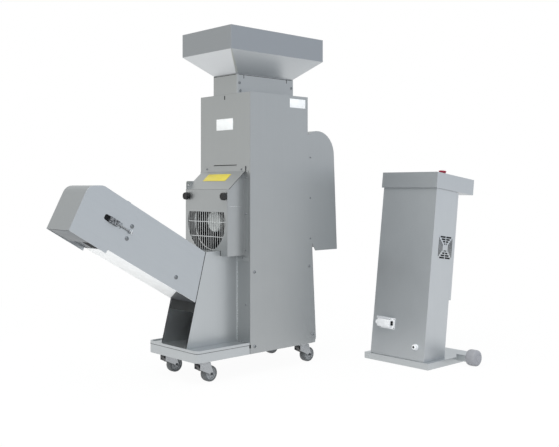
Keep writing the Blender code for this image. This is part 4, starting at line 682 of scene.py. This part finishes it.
dress(panel_steel, "fan_box", "fan_cover")
guard_wire = plated_steel("polished_guard_wire", "D9DCDD")
dress(guard_wire, "fan_guard")
fan_paint = moulded("painted_fan", FAN_HUB_TONE, 0.35)
tree, _, place = open_material(fan_paint)
hub = on_machine(FAN_MIDDLE[0], 0, FAN_MIDDLE[1])
from_hub = add(tree, "ShaderNodeVectorMath", {0: place, 1: hub}, operation="SUBTRACT").outputs[0]
flat = add(tree, "ShaderNodeVectorMath", {0: from_hub, 1: (1, 0, 1)}, operation="MULTIPLY").outputs[0]
away = add(tree, "ShaderNodeVectorMath", {0: flat}, operation="LENGTH").outputs["Value"]
repaint_beyond(fan_paint, away, HUB_LIGHT_RADIUS, FAN_BLADE_TONE)
dress(fan_paint, "fan_impeller")
dress(dark_paint, "fan_motor")
knob_plastic = moulded("moulded_black_bakelite", "141517", 0.32)
# Flat black for painted shade: the dark inside of the fan box and of the vent behind the grille.
painted_shade_black = moulded("flat_black_painted_shade", "0C0D0F", 0.8, specular=0.1)

cover_low, cover_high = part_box("fan_cover")
face_y = cover_low.y - TOWER_FOOT.y
box_right = cover_high.x - TOWER_FOOT.x
roof_right = box_right + ROOF_OVERHANG


def on_fan_axis(behind):
    """The place on the fan's axis at a distance behind the inlet's front edge."""
    return on_machine(FAN_MIDDLE[0], face_y + INLET_BACK + behind, FAN_MIDDLE[1])


def top_face(body):
    """The upper cap of a body that stands along its Z axis."""
    caps = [face for face in body.faces if len(face.verts) > 4]
    return max(caps, key=lambda face: face.calc_center_median().z)


# A flat black inlet tube and a ring behind the cover are painted shade for the inside of the fan box; a
# bright wire ring lies on the inlet's edge.
bm = bmesh.new()
add_turned(
    bm,
    [
        (INLET_RADIUS - INLET_ROUND, 0),
        (INLET_RADIUS, INLET_ROUND),
        (INLET_RADIUS, INLET_DEPTH),
        (MOTOR_HOLE, INLET_DEPTH),
        (MOTOR_HOLE, INLET_DEPTH - INLET_SHEET),
        (INLET_RADIUS - INLET_SHEET, INLET_DEPTH - INLET_SHEET),
        (INLET_RADIUS - INLET_SHEET, INLET_ROUND),
        (INLET_RADIUS - INLET_ROUND - INLET_SHEET, 0),
        (INLET_RADIUS - INLET_ROUND, 0),
    ],
    on_fan_axis(0),
    (0, 1, 0),
    steps=96,
)
add_turned(
    bm,
    [
        (INLET_RADIUS - 0.0005, 0),
        (SHADE_RING_RADIUS, 0),
        (SHADE_RING_RADIUS, 0.0012),
        (INLET_RADIUS - 0.0005, 0.0012),
        (INLET_RADIUS - 0.0005, 0),
    ],
    on_fan_axis(INLET_ROUND),
    (0, 1, 0),
    steps=96,
)
turns = [math.tau * i / RING_STEPS for i in range(RING_STEPS)]
ring = [Vector((math.cos(turn), 0, math.sin(turn))) * (INLET_RADIUS - 0.003) for turn in turns]
add_wire(bm, [on_fan_axis(-0.001) + spot for spot in ring], RING_WIRE, closed=True, material=1)
finish_piece("fan_shroud_painted_shade", bm, [painted_shade_black, bright_steel_and_painted_highlight], "machine")

for side in ("left", "right"):
    name = f"cover_knob_{side}"
    low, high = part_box(name)
    middle = Vector(((low.x + high.x) / 2, low.y, (low.z + high.z) / 2))
    radius = (high.x - low.x) / 2
    depth = radius * 0.95
    seat = middle + Vector((0, depth, 0))
    bm = bmesh.new()
    grip = bmesh.new()
    made = bmesh.ops.create_circle(grip, cap_ends=True, segments=FLUTES * 8, radius=radius)
    for vert in made["verts"]:
        turn = math.atan2(vert.co.y, vert.co.x) * FLUTES
        vert.co *= 1 - FLUTE_DEPTH * (0.5 - 0.5 * math.cos(turn)) ** 2
    pulled = bmesh.ops.extrude_face_region(grip, geom=grip.faces[:])
    top = [item for item in pulled["geom"] if isinstance(item, bmesh.types.BMVert)]
    bmesh.ops.translate(grip, vec=(0, 0, depth), verts=top)
    round_edges(grip, list(top_face(grip).edges), radius * 0.14, 3)
    upper = top_face(grip)
    bmesh.ops.inset_region(grip, faces=[upper], thickness=radius * 0.24, depth=0)
    bmesh.ops.inset_region(grip, faces=[upper], thickness=radius * 0.03, depth=-radius * 0.06)
    pour(bm, grip, facing(seat, (0, -1, 0)))
    add_turned(
        bm,
        [
            (0, 0),
            (radius * 0.62, 0),
            (radius * 0.70, -radius * 0.10),
            (radius * 0.72, -radius * 0.24),
            (0, -radius * 0.24),
        ],
        seat,
        (0, -1, 0),
    )
    add_turned(
        bm,
        [(0, 0), (0.003, 0), (0.003, 0.034), (0.0024, 0.035), (0, 0.035)],
        middle + Vector((0, 0.012, 0)),
        (0, 1, 0),
        material=1,
        steps=20,
    )
    finish_piece(name + "_fluted", bm, [knob_plastic, zinc], name, [name])

bm = bmesh.new()
for z in FLANGE_SCREW_HEIGHTS:
    for x, radius in FLANGE_SCREWS:
        add_screw(bm, on_machine(x, FLANGE_FACE, z), (0, -1, 0), radius)
for x, z in TOP_SCREWS:
    add_screw(bm, on_machine(x, FLANGE_FACE, z), (0, -1, 0), SMALL_SCREW)
add_screw(bm, on_machine(*FOOT_SCREW), (0, -1, 0), SMALL_SCREW)
finish_piece("fan_box_screws", bm, [screw_steel], "machine")

bm = bmesh.new()
slope = Matrix.Translation(on_machine(0, *ROOF_FOOT)) @ Matrix.Rotation(ROOF_SLOPE, 4, "X")
add_block(bm, *YELLOW_PLATE, slope, broken=PLATE_EDGE)
finish_piece("bare_yellow_plate", bm, [plate_yellow], "machine")

# A thin black wire under the roof's overhanging edge is painted shadow: the shade in the gap below the roof.
bm = bmesh.new()
roof_shadow_line = [
    on_machine(roof_right, face_y + 0.0005, 0.9468),
    on_machine(roof_right, -0.0030, 1.0412),
    on_machine(roof_right, -0.0030, 1.0665),
]
add_wire(bm, roof_shadow_line, 0.0011)
finish_piece("roof_edge_painted_shadow", bm, [black_and_painted_gap_shade], "machine")

# Bright strips on the fan box's edge and the housing's rear flanges, and bright dots at their feet: painted
# highlights.
bm = bmesh.new()
add_block(bm, on_machine(box_right - 0.0005, -0.098, 0.8600), on_machine(box_right + 0.0007, -0.020, 0.8613))
for sign in (1, -1):
    foot_x = sign * 0.1055
    add_block(bm, on_machine(foot_x - 0.0018, -0.0045, 0.1668), on_machine(foot_x + 0.0018, -0.0003, 0.6080))
    for x, length in FOOT_TABS:
        add_block(
            bm,
            on_machine(sign * x - length / 2, -0.0035, 0.1662),
            on_machine(sign * x + length / 2, -0.0005, 0.1690),
            broken=0.001,
        )
finish_piece("painted_highlight_strips", bm, [bright_steel_and_painted_highlight], "machine")

bm = bmesh.new()
for sign in (1, -1):
    add_block(bm, on_machine(sign * 0.1075, -0.0016, 0.580), on_machine(sign * 0.199, -0.0002, 0.6088))
finish_piece("fan_box_foot_flanges", bm, [panel_steel], "machine")

# Lower housing: a bent sheet box, open in front, that carries the belt's tail drum. A thin black wire on its
# slanted front edges draws the dark line there, and a black curtain hangs in its mouth under the conveyor.
HOUSING_STEEL = "BBBFC1"
HOUSING_MOUTH = ((-0.325, 0.1690), (-0.2045, 0.6345))
CURTAIN_ENDS = ((-0.2655, 0.3900), (-0.2800, 0.3400))
CURTAIN_HALF = 0.0995
dress(brushed_steel("brushed_stainless_housing", HOUSING_STEEL), "lower_housing")
housing_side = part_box("lower_housing")[1].x - TOWER_FOOT.x
bm = bmesh.new()
for sign in (1, -1):
    edge_line = [on_machine(sign * (housing_side - 0.0005), y - 0.0012, z) for y, z in HOUSING_MOUTH]
    add_wire(bm, edge_line, 0.0019)
finish_piece("housing_edge_strips", bm, [black_and_painted_gap_shade], "machine")

bm = bmesh.new()
curtain = bmesh.new()
head, foot = CURTAIN_ENDS
corners = ((-CURTAIN_HALF, *head), (CURTAIN_HALF, *head), (CURTAIN_HALF, *foot), (-CURTAIN_HALF, *foot))
curtain.faces.new([curtain.verts.new(on_machine(*corner)) for corner in corners])
bmesh.ops.solidify(curtain, geom=curtain.faces[:], thickness=0.002)
pour(bm, curtain)
curtain_rubber = moulded("dark_curtain_rubber", "4A4D4E", 0.6)
finish_piece("housing_curtain", bm, [curtain_rubber], "machine")

# Conveyor: two stainless side plates with a sheet cover and a bent hood over the head roller. The head
# roller's bearings slide in slots, pulled by threaded rods. A white sheet guards the belt from below; a dark
# grey sheet at its mouth is painted shadow. A scraper lies under the hood, partly black, partly a darker
# steel that is painted shade.
ARM_STEEL = "B6BBBF"
HOOD_STEEL = "A3A7AA"
SHADED_STEEL = "8A8E91"
CAST_GREY = "A2A5A8"
PIT_TONE = "4B4D52"
PIT_SIZE = 0.006
ARM_TILT = math.radians(30)
ARM_HALF = 0.1035
ARM_TAIL = (0, -0.209, 0.635)
HEAD_ALONG = 0.541
HEAD_DROP = 0.117
GUARD_ALONG = (-0.066, 0.499)
GUARD_DROP = 0.2438
GUARD_SHEET = 0.0014
MOUTH_SHADOW_CORNERS = ((-ARM_HALF, -0.066), (ARM_HALF, 0.062), (ARM_HALF, -0.070))
MOUTH_SHADOW_SHEET = 0.0012
SCRAPER_HALF = 0.0985
SCRAPER_SPLIT = -0.037
SCRAPER_ALONG = (0.504, 0.600)
SCRAPER_DROP = (0.2392, 0.2412)
NOSE_ALONG = (0.594, 0.708)
NOSE_DROP = (0.2540, 0.2552)
SLOT_HALF = 0.018
BLOCK_FACE = 0.1155
BLOCK_PIN = ((0, 0), (0.0026, 0), (0.0026, 0.0006), (0, 0.0006))
BLOCK_PINS = ((0.560, -0.006), (0.560, 0.006), (0.526, -0.006), (0.526, 0.006), (0.543, 0))
ROD_OUT = 0.1081
ROD_START = 0.426
THREAD_RADIUS = 0.0040
THREAD_PITCH = 0.0013
THREAD_TURNS = 60
THREAD_STEPS = 8
THREAD_RIDGE = 0.00045
LOCK_NUT = ((0, 0), (0.0078, 0), (0.0078, 0.0052), (0.0068, 0.0062), (0, 0.0062))
LOCK_NUTS = ((0.4395, 1), (0.4345, -1))
DOME_SCREWS = ((-0.6355, 0.777), (-0.664, 0.722), (-0.3865, 0.5226))
arm = Matrix(
    (
        (1, 0, 0, 0),
        (0, -math.cos(ARM_TILT), -math.sin(ARM_TILT), 0),
        (0, math.sin(ARM_TILT), -math.cos(ARM_TILT), 0),
        (0, 0, 0, 1),
    )
)
arm.translation = on_machine(*ARM_TAIL)


def cast_metal(name, colour):
    """Sand cast iron under thin zinc: rough, with dark pits two or three millimetres wide."""
    material = plated_steel(name, colour)
    tree, surface, place = open_material(material)
    pits = mapped(tree, noise(tree, place, PIT_SIZE, 3, 0.7), (0.42, 0.6))
    hollow = add(tree, "ShaderNodeBump", {"Strength": 0.5, "Distance": 0.0006, "Height": pits})
    tone = mixed(tree, pits, linear(PIT_TONE), linear(colour))
    set_sockets(surface, {"Base Color": tone, "Normal": hollow.outputs["Normal"]})
    return material


arm_steel = brushed_steel("brushed_stainless_arm", ARM_STEEL, (math.radians(60), 0, 0))
dress(arm_steel, "conveyor_side_right", "conveyor_side_left", "conveyor_cover", "belt_bed")
dress(brushed_steel("brushed_stainless_hood", HOOD_STEEL), "conveyor_hood")
belt_white = moulded("white_food_belt", "F1F2F2", 0.5)
dress(belt_white, "conveyor_belt")
dress(zinc, "head_roller", "idler_roller", "tail_roller")
dress(cast_metal("cast_bearing_block", CAST_GREY), "take_up_right", "take_up_left")

bm = bmesh.new()
add_block(
    bm,
    (-ARM_HALF, GUARD_ALONG[0], GUARD_DROP - GUARD_SHEET),
    (ARM_HALF, GUARD_ALONG[1], GUARD_DROP),
    arm,
    broken=0.0005,
)
finish_piece("belt_guard_sheet", bm, [belt_white], "machine")

# A dark grey sheet at the guard's mouth: painted shadow, where the belt runs into the housing.
bm = bmesh.new()
mouth_shadow = bmesh.new()
face = mouth_shadow.faces.new([mouth_shadow.verts.new((*corner, GUARD_DROP + 0.0001)) for corner in MOUTH_SHADOW_CORNERS])
lip = bmesh.ops.extrude_face_region(mouth_shadow, geom=[face])["geom"]
lip = [item for item in lip if isinstance(item, bmesh.types.BMVert)]
bmesh.ops.translate(mouth_shadow, vec=(0, 0, MOUTH_SHADOW_SHEET), verts=lip)
pour(bm, mouth_shadow, arm)
mouth_shadow_grey = moulded("dark_grey_painted_shadow", "4A4D50", 0.5)
finish_piece("belt_mouth_painted_shadow", bm, [mouth_shadow_grey], "machine")

bm = bmesh.new()
for left, right, ends, drops, material in (
    (SCRAPER_SPLIT, SCRAPER_HALF, SCRAPER_ALONG, SCRAPER_DROP, 0),
    (-SCRAPER_HALF, SCRAPER_SPLIT, SCRAPER_ALONG, SCRAPER_DROP, 2),
    (-SCRAPER_HALF, SCRAPER_HALF, NOSE_ALONG, NOSE_DROP, 2),
):
    add_block(bm, (left, ends[0], drops[0]), (right, ends[1], drops[1]), arm, material)
for sign in (1, -1):
    for near, far, material in ((0.016, 0.058, 0), (-0.058, -0.030, 1)):
        add_block(
            bm,
            (sign * (ARM_HALF - 0.0050), HEAD_ALONG + near, HEAD_DROP - SLOT_HALF),
            (sign * (ARM_HALF - 0.0030), HEAD_ALONG + far, HEAD_DROP + SLOT_HALF),
            arm,
            material,
        )
# A darker copy of the arm's steel for the plates under the head roller: painted shade.
shaded_steel = brushed_steel("stainless_underside_painted_shade", SHADED_STEEL, roughness=0.5)
flap_finishes = [black_and_painted_gap_shade, arm_steel, shaded_steel]
finish_piece("belt_scraper_and_slot_flaps", bm, flap_finishes, "machine")

bm = bmesh.new()
for sign in (1, -1):
    for along, drop in BLOCK_PINS:
        spot = arm @ Vector((sign * BLOCK_FACE, along, HEAD_DROP + drop))
        add_turned(bm, BLOCK_PIN, spot, (sign, 0, 0), material=1, steps=16)
    thread = []
    for i in range(THREAD_TURNS * THREAD_STEPS + 1):
        turn = math.tau * i / THREAD_STEPS
        out = sign * ROD_OUT + THREAD_RADIUS * math.cos(turn)
        along = ROD_START + THREAD_PITCH * i / THREAD_STEPS
        thread.append(arm @ Vector((out, along, HEAD_DROP + THREAD_RADIUS * math.sin(turn))))
    add_wire(bm, thread, THREAD_RIDGE)
    for along, way in LOCK_NUTS:
        spot = arm @ Vector((sign * ROD_OUT, along, HEAD_DROP))
        add_turned(bm, LOCK_NUT, spot, arm.to_3x3() @ Vector((0, way, 0)), steps=6)
finish_piece("take_up_threads", bm, [zinc, black_and_painted_gap_shade], "machine")

bm = bmesh.new()
for sign in (1, -1):
    for out, near, far, up in ((0.0150, 0.4352, 0.4388, 0.0105), (0.0026, 0.4260, 0.4380, 0.0085)):
        add_block(
            bm,
            (sign * (ARM_HALF - 0.0002), near, HEAD_DROP - 0.0085),
            (sign * (ARM_HALF + out), far, HEAD_DROP + up),
            arm,
            broken=0.0006,
        )
finish_piece("take_up_brackets", bm, [bright_steel_and_painted_highlight], "machine")

bm = bmesh.new()
for sign in (1, -1):
    for y, z in DOME_SCREWS:
        add_turned(
            bm,
            [
                (0, 0.0042),
                (0.0020, 0.0041),
                (0.0045, 0.0036),
                (0.0068, 0.0025),
                (0.0080, 0.0011),
                (0.0084, 0.0008),
                (0.0106, 0.0006),
                (0.0106, 0),
                (0, 0),
            ],
            on_machine(sign * ARM_HALF, y, z),
            (sign, 0, 0),
        )
dome_steel = plated_steel("dull_dome_screw", "7B7F82")
finish_piece("arm_dome_screws", bm, [dome_steel], "machine")

bm = bmesh.new()
joint_half = ARM_HALF - 0.0005
add_block(bm, (-joint_half, 0.4985, -0.0024), (joint_half, 0.5200, 0.0006), arm, broken=0.0008)
finish_piece("cover_joint_strip", bm, [arm_steel], "machine")

# Exhaust hood: a bent stainless hood on the tower's back that leads the skins and the air out. It is
# screwed to the rear panel and to the side panels' edges.
HOOD_SCREW_BACK = 0.432
HOOD_SCREW_HEIGHTS = (0.68, 0.90, 1.12)
dress(panel_steel, "exhaust_hood")
hood_low, hood_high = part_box("exhaust_hood")
bm = bmesh.new()
for x, sign in ((hood_high.x, 1), (hood_low.x, -1)):
    for z in HOOD_SCREW_HEIGHTS:
        add_screw(bm, (x, TOWER_FOOT.y + HOOD_SCREW_BACK, z), (sign, 0, 0), SMALL_SCREW)
finish_piece("exhaust_hood_screws", bm, [screw_steel], "machine")

# Control stand: a leaning stainless column on a low foot with two wheels, and a desk on top. The
# column is bent from one sheet; a slotted grille covers the vent in its right side, and a door on
# three hinges closes its back.
STAND_STEEL = "C2C6C9"
DESK_STEEL = "BCC0C3"
LEAN = math.radians(7.3)
DESK_TOP = 1.0135
VENT_BACK = 0.1146
VENT_UP = 0.615
VENT_HALF = 0.0615
VENT_ROWS = 4
VENT_SIDE_ROOM = 0.0075
# Rows of slots in the grille: whether they lie level, their pitch, their width, half the rib between.
VENT_SLOTS = ((True, 0.0125, 0.0088, 0.0034), (False, 0.0100, 0.0056, 0))
HINGE_PLACES = (0.42, 0.63, 0.84)
HINGE_HALF = 0.022
DOOR_BACK = 0.2025
LOCK_UP = 0.63
stand_steel = brushed_steel("brushed_stainless_stand", STAND_STEEL, roughness=0.4)
dress(stand_steel, "stand_column", "stand_door")
dress(brushed_steel("brushed_stainless_desk", DESK_STEEL), "control_desk")
dress(base_steel, "stand_base")
column_low, column_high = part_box("stand_column")
column_half = (column_high.x - column_low.x) / 2
column = Matrix(
    (
        (1, 0, 0, 0),
        (0, math.cos(LEAN), math.sin(LEAN), 0),
        (0, -math.sin(LEAN), math.cos(LEAN), 0),
        (0, 0, 0, 1),
    )
)
column.translation = Vector(((column_low.x + column_high.x) / 2, column_low.y, column_low.z))
UP = column.to_3x3() @ Vector((0, 0, 1))
OUT = column.to_3x3() @ Vector((0, -1, 0))

# A flat black block behind the grille: painted shade inside the vent.
bm = bmesh.new()
add_block(bm, (column_half - 0.0060, 0.045, 0.545), (column_half - 0.0030, 0.178, 0.690), column)
finish_piece("vent_painted_shade", bm, [painted_shade_black], "machine")

bm = bmesh.new()
grille_low = (column_half - 0.0002, VENT_BACK - VENT_HALF, VENT_UP - VENT_HALF)
grille_high = (column_half + 0.0006, VENT_BACK + VENT_HALF, VENT_UP + VENT_HALF)
add_block(bm, grille_low, grille_high, column, broken=0.0002)
# The slots are black blocks on the grille: painted shade for the openings.
for level, pitch, slot, rib in VENT_SLOTS:
    for row in range(VENT_ROWS):
        far = VENT_HALF - slot / 2 - 0.001 - pitch * row
        reach = far - VENT_SIDE_ROOM
        for side in (-1, 1):
            across = (side * far - slot / 2, side * far + slot / 2)
            for run in ((-reach, -rib), (rib, reach)):
                (back_a, back_b), (up_a, up_b) = (run, across) if level else (across, run)
                add_block(
                    bm,
                    (column_half - 0.0004, VENT_BACK + back_a, VENT_UP + up_a),
                    (column_half + 0.0008, VENT_BACK + back_b, VENT_UP + up_b),
                    column,
                    material=1,
                    broken=0,
                )
finish_piece("vent_grille", bm, [stand_steel, black_and_painted_gap_shade], "machine")

bm = bmesh.new()
for up in HINGE_PLACES:
    pin = mirrored([(0, -HINGE_HALF), (0.0050, -HINGE_HALF), (0.0058, 0.0008 - HINGE_HALF)])
    add_turned(bm, pin, column @ Vector((-column_half - 0.0020, 0.2010, up)), UP, steps=24)
    add_block(bm, (-column_half, 0.2022, up - 0.020), (-column_half + 0.024, 0.2042, up + 0.020), column)
lock_place = column @ Vector((column_half - 0.030, DOOR_BACK, LOCK_UP))
add_turned(
    bm,
    [(0, 0), (0.014, 0), (0.014, 0.0020), (0.0125, 0.0034), (0.0085, 0.0040), (0.0080, 0.0030), (0, 0.0030)],
    lock_place,
    -OUT,
)
finish_piece("door_hinges_and_lock", bm, [screw_steel], "stand_door")

# Stand wheels: solid grey nylon rollers on the axle behind the foot, with a rounded tread and a low
# domed cap over the axle's end.
wheel_nylon = moulded("turned_grey_nylon", "9A9BA0", 0.5)
for side in ("right", "left"):
    name = f"stand_wheel_{side}"
    low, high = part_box(name)
    middle = (low + high) / 2
    radius = (high.z - low.z) / 2
    half = (high.x - low.x) / 2
    bm = bmesh.new()
    add_turned(
        bm,
        [
            (0, -half),
            (radius * 0.62, -half),
            (radius * 0.80, -half * 0.93),
            (radius * 0.93, -half * 0.80),
            (radius * 0.985, -half * 0.62),
            (radius, -half * 0.40),
            (radius, half * 0.40),
            (radius * 0.985, half * 0.62),
            (radius * 0.93, half * 0.80),
            (radius * 0.80, half * 0.93),
            (radius * 0.62, half),
            (radius * 0.45, half),
            (radius * 0.40, half + 0.0035),
            (0, half + 0.0042),
        ],
        middle,
        (1, 0, 0),
    )
    finish_piece(name + "_roller", bm, [wheel_nylon], name, [name])

# Controls on the desk: a red mushroom head stop, a green start and a red stop button in chromed rings,
# and a black speed knob. The legend plates are bare.
START_SIDE = -0.09475
STOP_SIDE = -0.03032
SPEED_SIDE = 0.06064
STOP_PLACE = (0.1235, 0.1321)
CONTROL_BACK = 0.2276
red_plastic = moulded("moulded_red_plastic", "961530", 0.32)
green_plastic = moulded("moulded_green_plastic", "1F7A3A", 0.32)
pointer_white = moulded("moulded_white_mark", "E6E8EA", 0.4)


def on_desk(x, back, up=0):
    """A place on the desk's top, from the middle of its front edge."""
    return column @ Vector((x, back - 0.012, DESK_TOP + up))


bm = bmesh.new()
add_turned(
    bm,
    [
        (0, -0.006),
        (0.0082, -0.006),
        (0.0082, 0.0085),
        (0.0145, 0.0090),
        (0.0165, 0.0105),
        (0.0198, 0.0165),
        (0.0212, 0.0205),
        (0.0208, 0.0225),
        (0.0180, 0.0242),
        (0.0095, 0.0253),
        (0, 0.0256),
    ],
    on_desk(*STOP_PLACE),
    UP,
    steps=64,
)
finish_piece("emergency_stop_head", bm, [red_plastic], "emergency_stop", ["emergency_stop"])

for name, x, paint, slot in (
    ("start_button", START_SIDE, green_plastic, "green_plastic"),
    ("stop_button", STOP_SIDE, red_plastic, "red_plastic"),
):
    bm = bmesh.new()
    add_turned(
        bm,
        [
            (0, -0.007),
            (0.0075, -0.007),
            (0.0075, 0.0036),
            (0.0104, 0.0038),
            (0.0108, 0.0050),
            (0.0104, 0.0062),
            (0.0094, 0.0066),
            (0.0060, 0.0061),
            (0, 0.0058),
        ],
        on_desk(x, CONTROL_BACK),
        UP,
    )
    finish_piece(name + "_cap", bm, [paint], name, [name])

bm = bmesh.new()
add_turned(
    bm,
    [
        (0, -0.007),
        (0.0105, -0.007),
        (0.0105, 0.0044),
        (0.0150, 0.0047),
        (0.0154, 0.0056),
        (0.0150, 0.0066),
        (0.0118, 0.0080),
        (0.0110, 0.0128),
        (0.0100, 0.0136),
        (0, 0.0136),
    ],
    on_desk(SPEED_SIDE, CONTROL_BACK),
    UP,
)
desk = column.copy()
desk.translation = on_desk(SPEED_SIDE, CONTROL_BACK)
add_block(bm, (-0.0008, 0.0005, 0.0130), (0.0008, 0.0098, 0.0141), desk, 1, broken=0.0002)
add_block(bm, (-0.0008, 0.0100, 0.0058), (0.0008, 0.0150, 0.0068), desk, 1, broken=0.0002)
knob_finishes = [knob_plastic, pointer_white]
finish_piece("speed_knob_grip", bm, knob_finishes, "speed_knob", ["speed_knob"])

bm = bmesh.new()
bezel = [(0.0114, 0), (0.0114, 0.0034), (0.0122, 0.0040), (0.0138, 0.0034), (0.0150, 0.0008), (0.0150, 0)]
for x in (START_SIDE, STOP_SIDE):
    add_turned(bm, bezel + bezel[:1], on_desk(x, CONTROL_BACK), UP)
add_turned(
    bm,
    [(0.0102, 0), (0.0102, 0.0008), (0.0142, 0.0008), (0.0146, 0.0004), (0.0146, 0), (0.0102, 0)],
    on_desk(*STOP_PLACE),
    UP,
)
desk.translation = on_desk(0, 0)
for x in (START_SIDE, STOP_SIDE, SPEED_SIDE):
    corner = (x - 0.014, CONTROL_BACK - 0.034, -0.0002)
    add_block(bm, corner, (x + 0.014, CONTROL_BACK - 0.024, 0.0007), desk, broken=0.0003)
finish_piece("button_rings_and_bare_legends", bm, [bright_steel_and_painted_highlight], "machine")

# Power connector and gland: a white rectangular plug connection with a lever that locks its hood, and
# a white nylon gland with a hexagon, a dome nut and a rubber seal, both on the column's front.
white_plastic = moulded("moulded_white_nylon", "EEF0F2", 0.4)
lever_grey = moulded("moulded_grey_lever", "C9CCD0", 0.4)
dress(lever_grey, "connector_lever")
PLUG_UP = 0.176
PLUG_FACE = -0.0053
GLAND_PLACE = (0.125, -0.0003, 0.072)
bm = bmesh.new()
frame_low = (-0.1290, PLUG_FACE, PLUG_UP - 0.0300)
add_block(bm, frame_low, (-0.0260, -0.0003, PLUG_UP + 0.0300), column, broken=0.0012)
shell = block_between((-0.1300, -0.0300, PLUG_UP - 0.0210), (-0.0430, -0.0040, PLUG_UP + 0.0210))
round_edges(shell, shell.edges[:], 0.0045, 3)
pour(bm, shell, column)
latch_low = (-0.0445, -0.0200, PLUG_UP - 0.0100)
add_block(bm, latch_low, (-0.0370, -0.0050, PLUG_UP + 0.0130), column, 2, broken=0.002)
for up in (-0.012, 0, 0.012):
    rib = PLUG_UP + up
    add_block(bm, (-0.120, -0.0308, rib - 0.0012), (-0.060, -0.0290, rib + 0.0012), column)
for x in (-0.1235, -0.0310):
    for up in (-0.0245, 0.0245):
        add_turned(
            bm,
            [(0, 0.0016), (0.0024, 0.0014), (0.0032, 0.0006), (0.0032, 0), (0, 0)],
            column @ Vector((x, PLUG_FACE, PLUG_UP + up)),
            OUT,
            material=1,
            steps=20,
        )
add_turned(
    bm,
    [
        (0, -0.001),
        (0.0125, -0.001),
        (0.0125, 0.0060),
        (0.0112, 0.0072),
        (0.0105, 0.0130),
        (0.0090, 0.0142),
        (0.0062, 0.0142),
        (0.0062, 0.0080),
        (0, 0.0080),
    ],
    column @ Vector((-0.1300, -0.0165, PLUG_UP)),
    (-1, 0, 0),
    steps=32,
)
for x in (-0.1150, -0.0520):
    add_turned(
        bm,
        [(0, 0), (0.0032, 0), (0.0032, 0.0030), (0.0025, 0.0036), (0, 0.0036)],
        column @ Vector((x, -0.0180, PLUG_UP + 0.0205)),
        UP,
        material=2,
        steps=20,
    )
shell_finishes = [white_plastic, zinc, black_and_painted_gap_shade]
finish_piece("power_connector_shell", bm, shell_finishes, "machine", ["power_connector"])

bm = bmesh.new()
gland_seat = column @ Vector(GLAND_PLACE)
add_turned(bm, [(0, 0), (0.0163, 0), (0.0163, 0.0012), (0, 0.0012)], gland_seat, OUT)
hexagon = [(0, 0.001), (0.0160, 0.001), (0.0160, 0.0072), (0.0148, 0.0082), (0, 0.0082)]
add_turned(bm, hexagon, gland_seat, OUT, steps=6)
add_turned(
    bm,
    [
        (0, 0.008),
        (0.0140, 0.008),
        (0.0142, 0.0150),
        (0.0134, 0.0185),
        (0.0112, 0.0212),
        (0.0078, 0.0225),
        (0.0066, 0.0218),
        (0.0066, 0.0120),
        (0, 0.0120),
    ],
    gland_seat,
    OUT,
)
seal_ring = [(0.0066, 0.0150), (0.0066, 0.0216), (0.0050, 0.0220), (0.0042, 0.0205), (0.0042, 0.0150)]
add_turned(bm, seal_ring + seal_ring[:1], gland_seat, OUT, material=1)
finish_piece("cable_gland_nut", bm, [white_plastic, black_and_painted_gap_shade], "machine", ["cable_gland"])
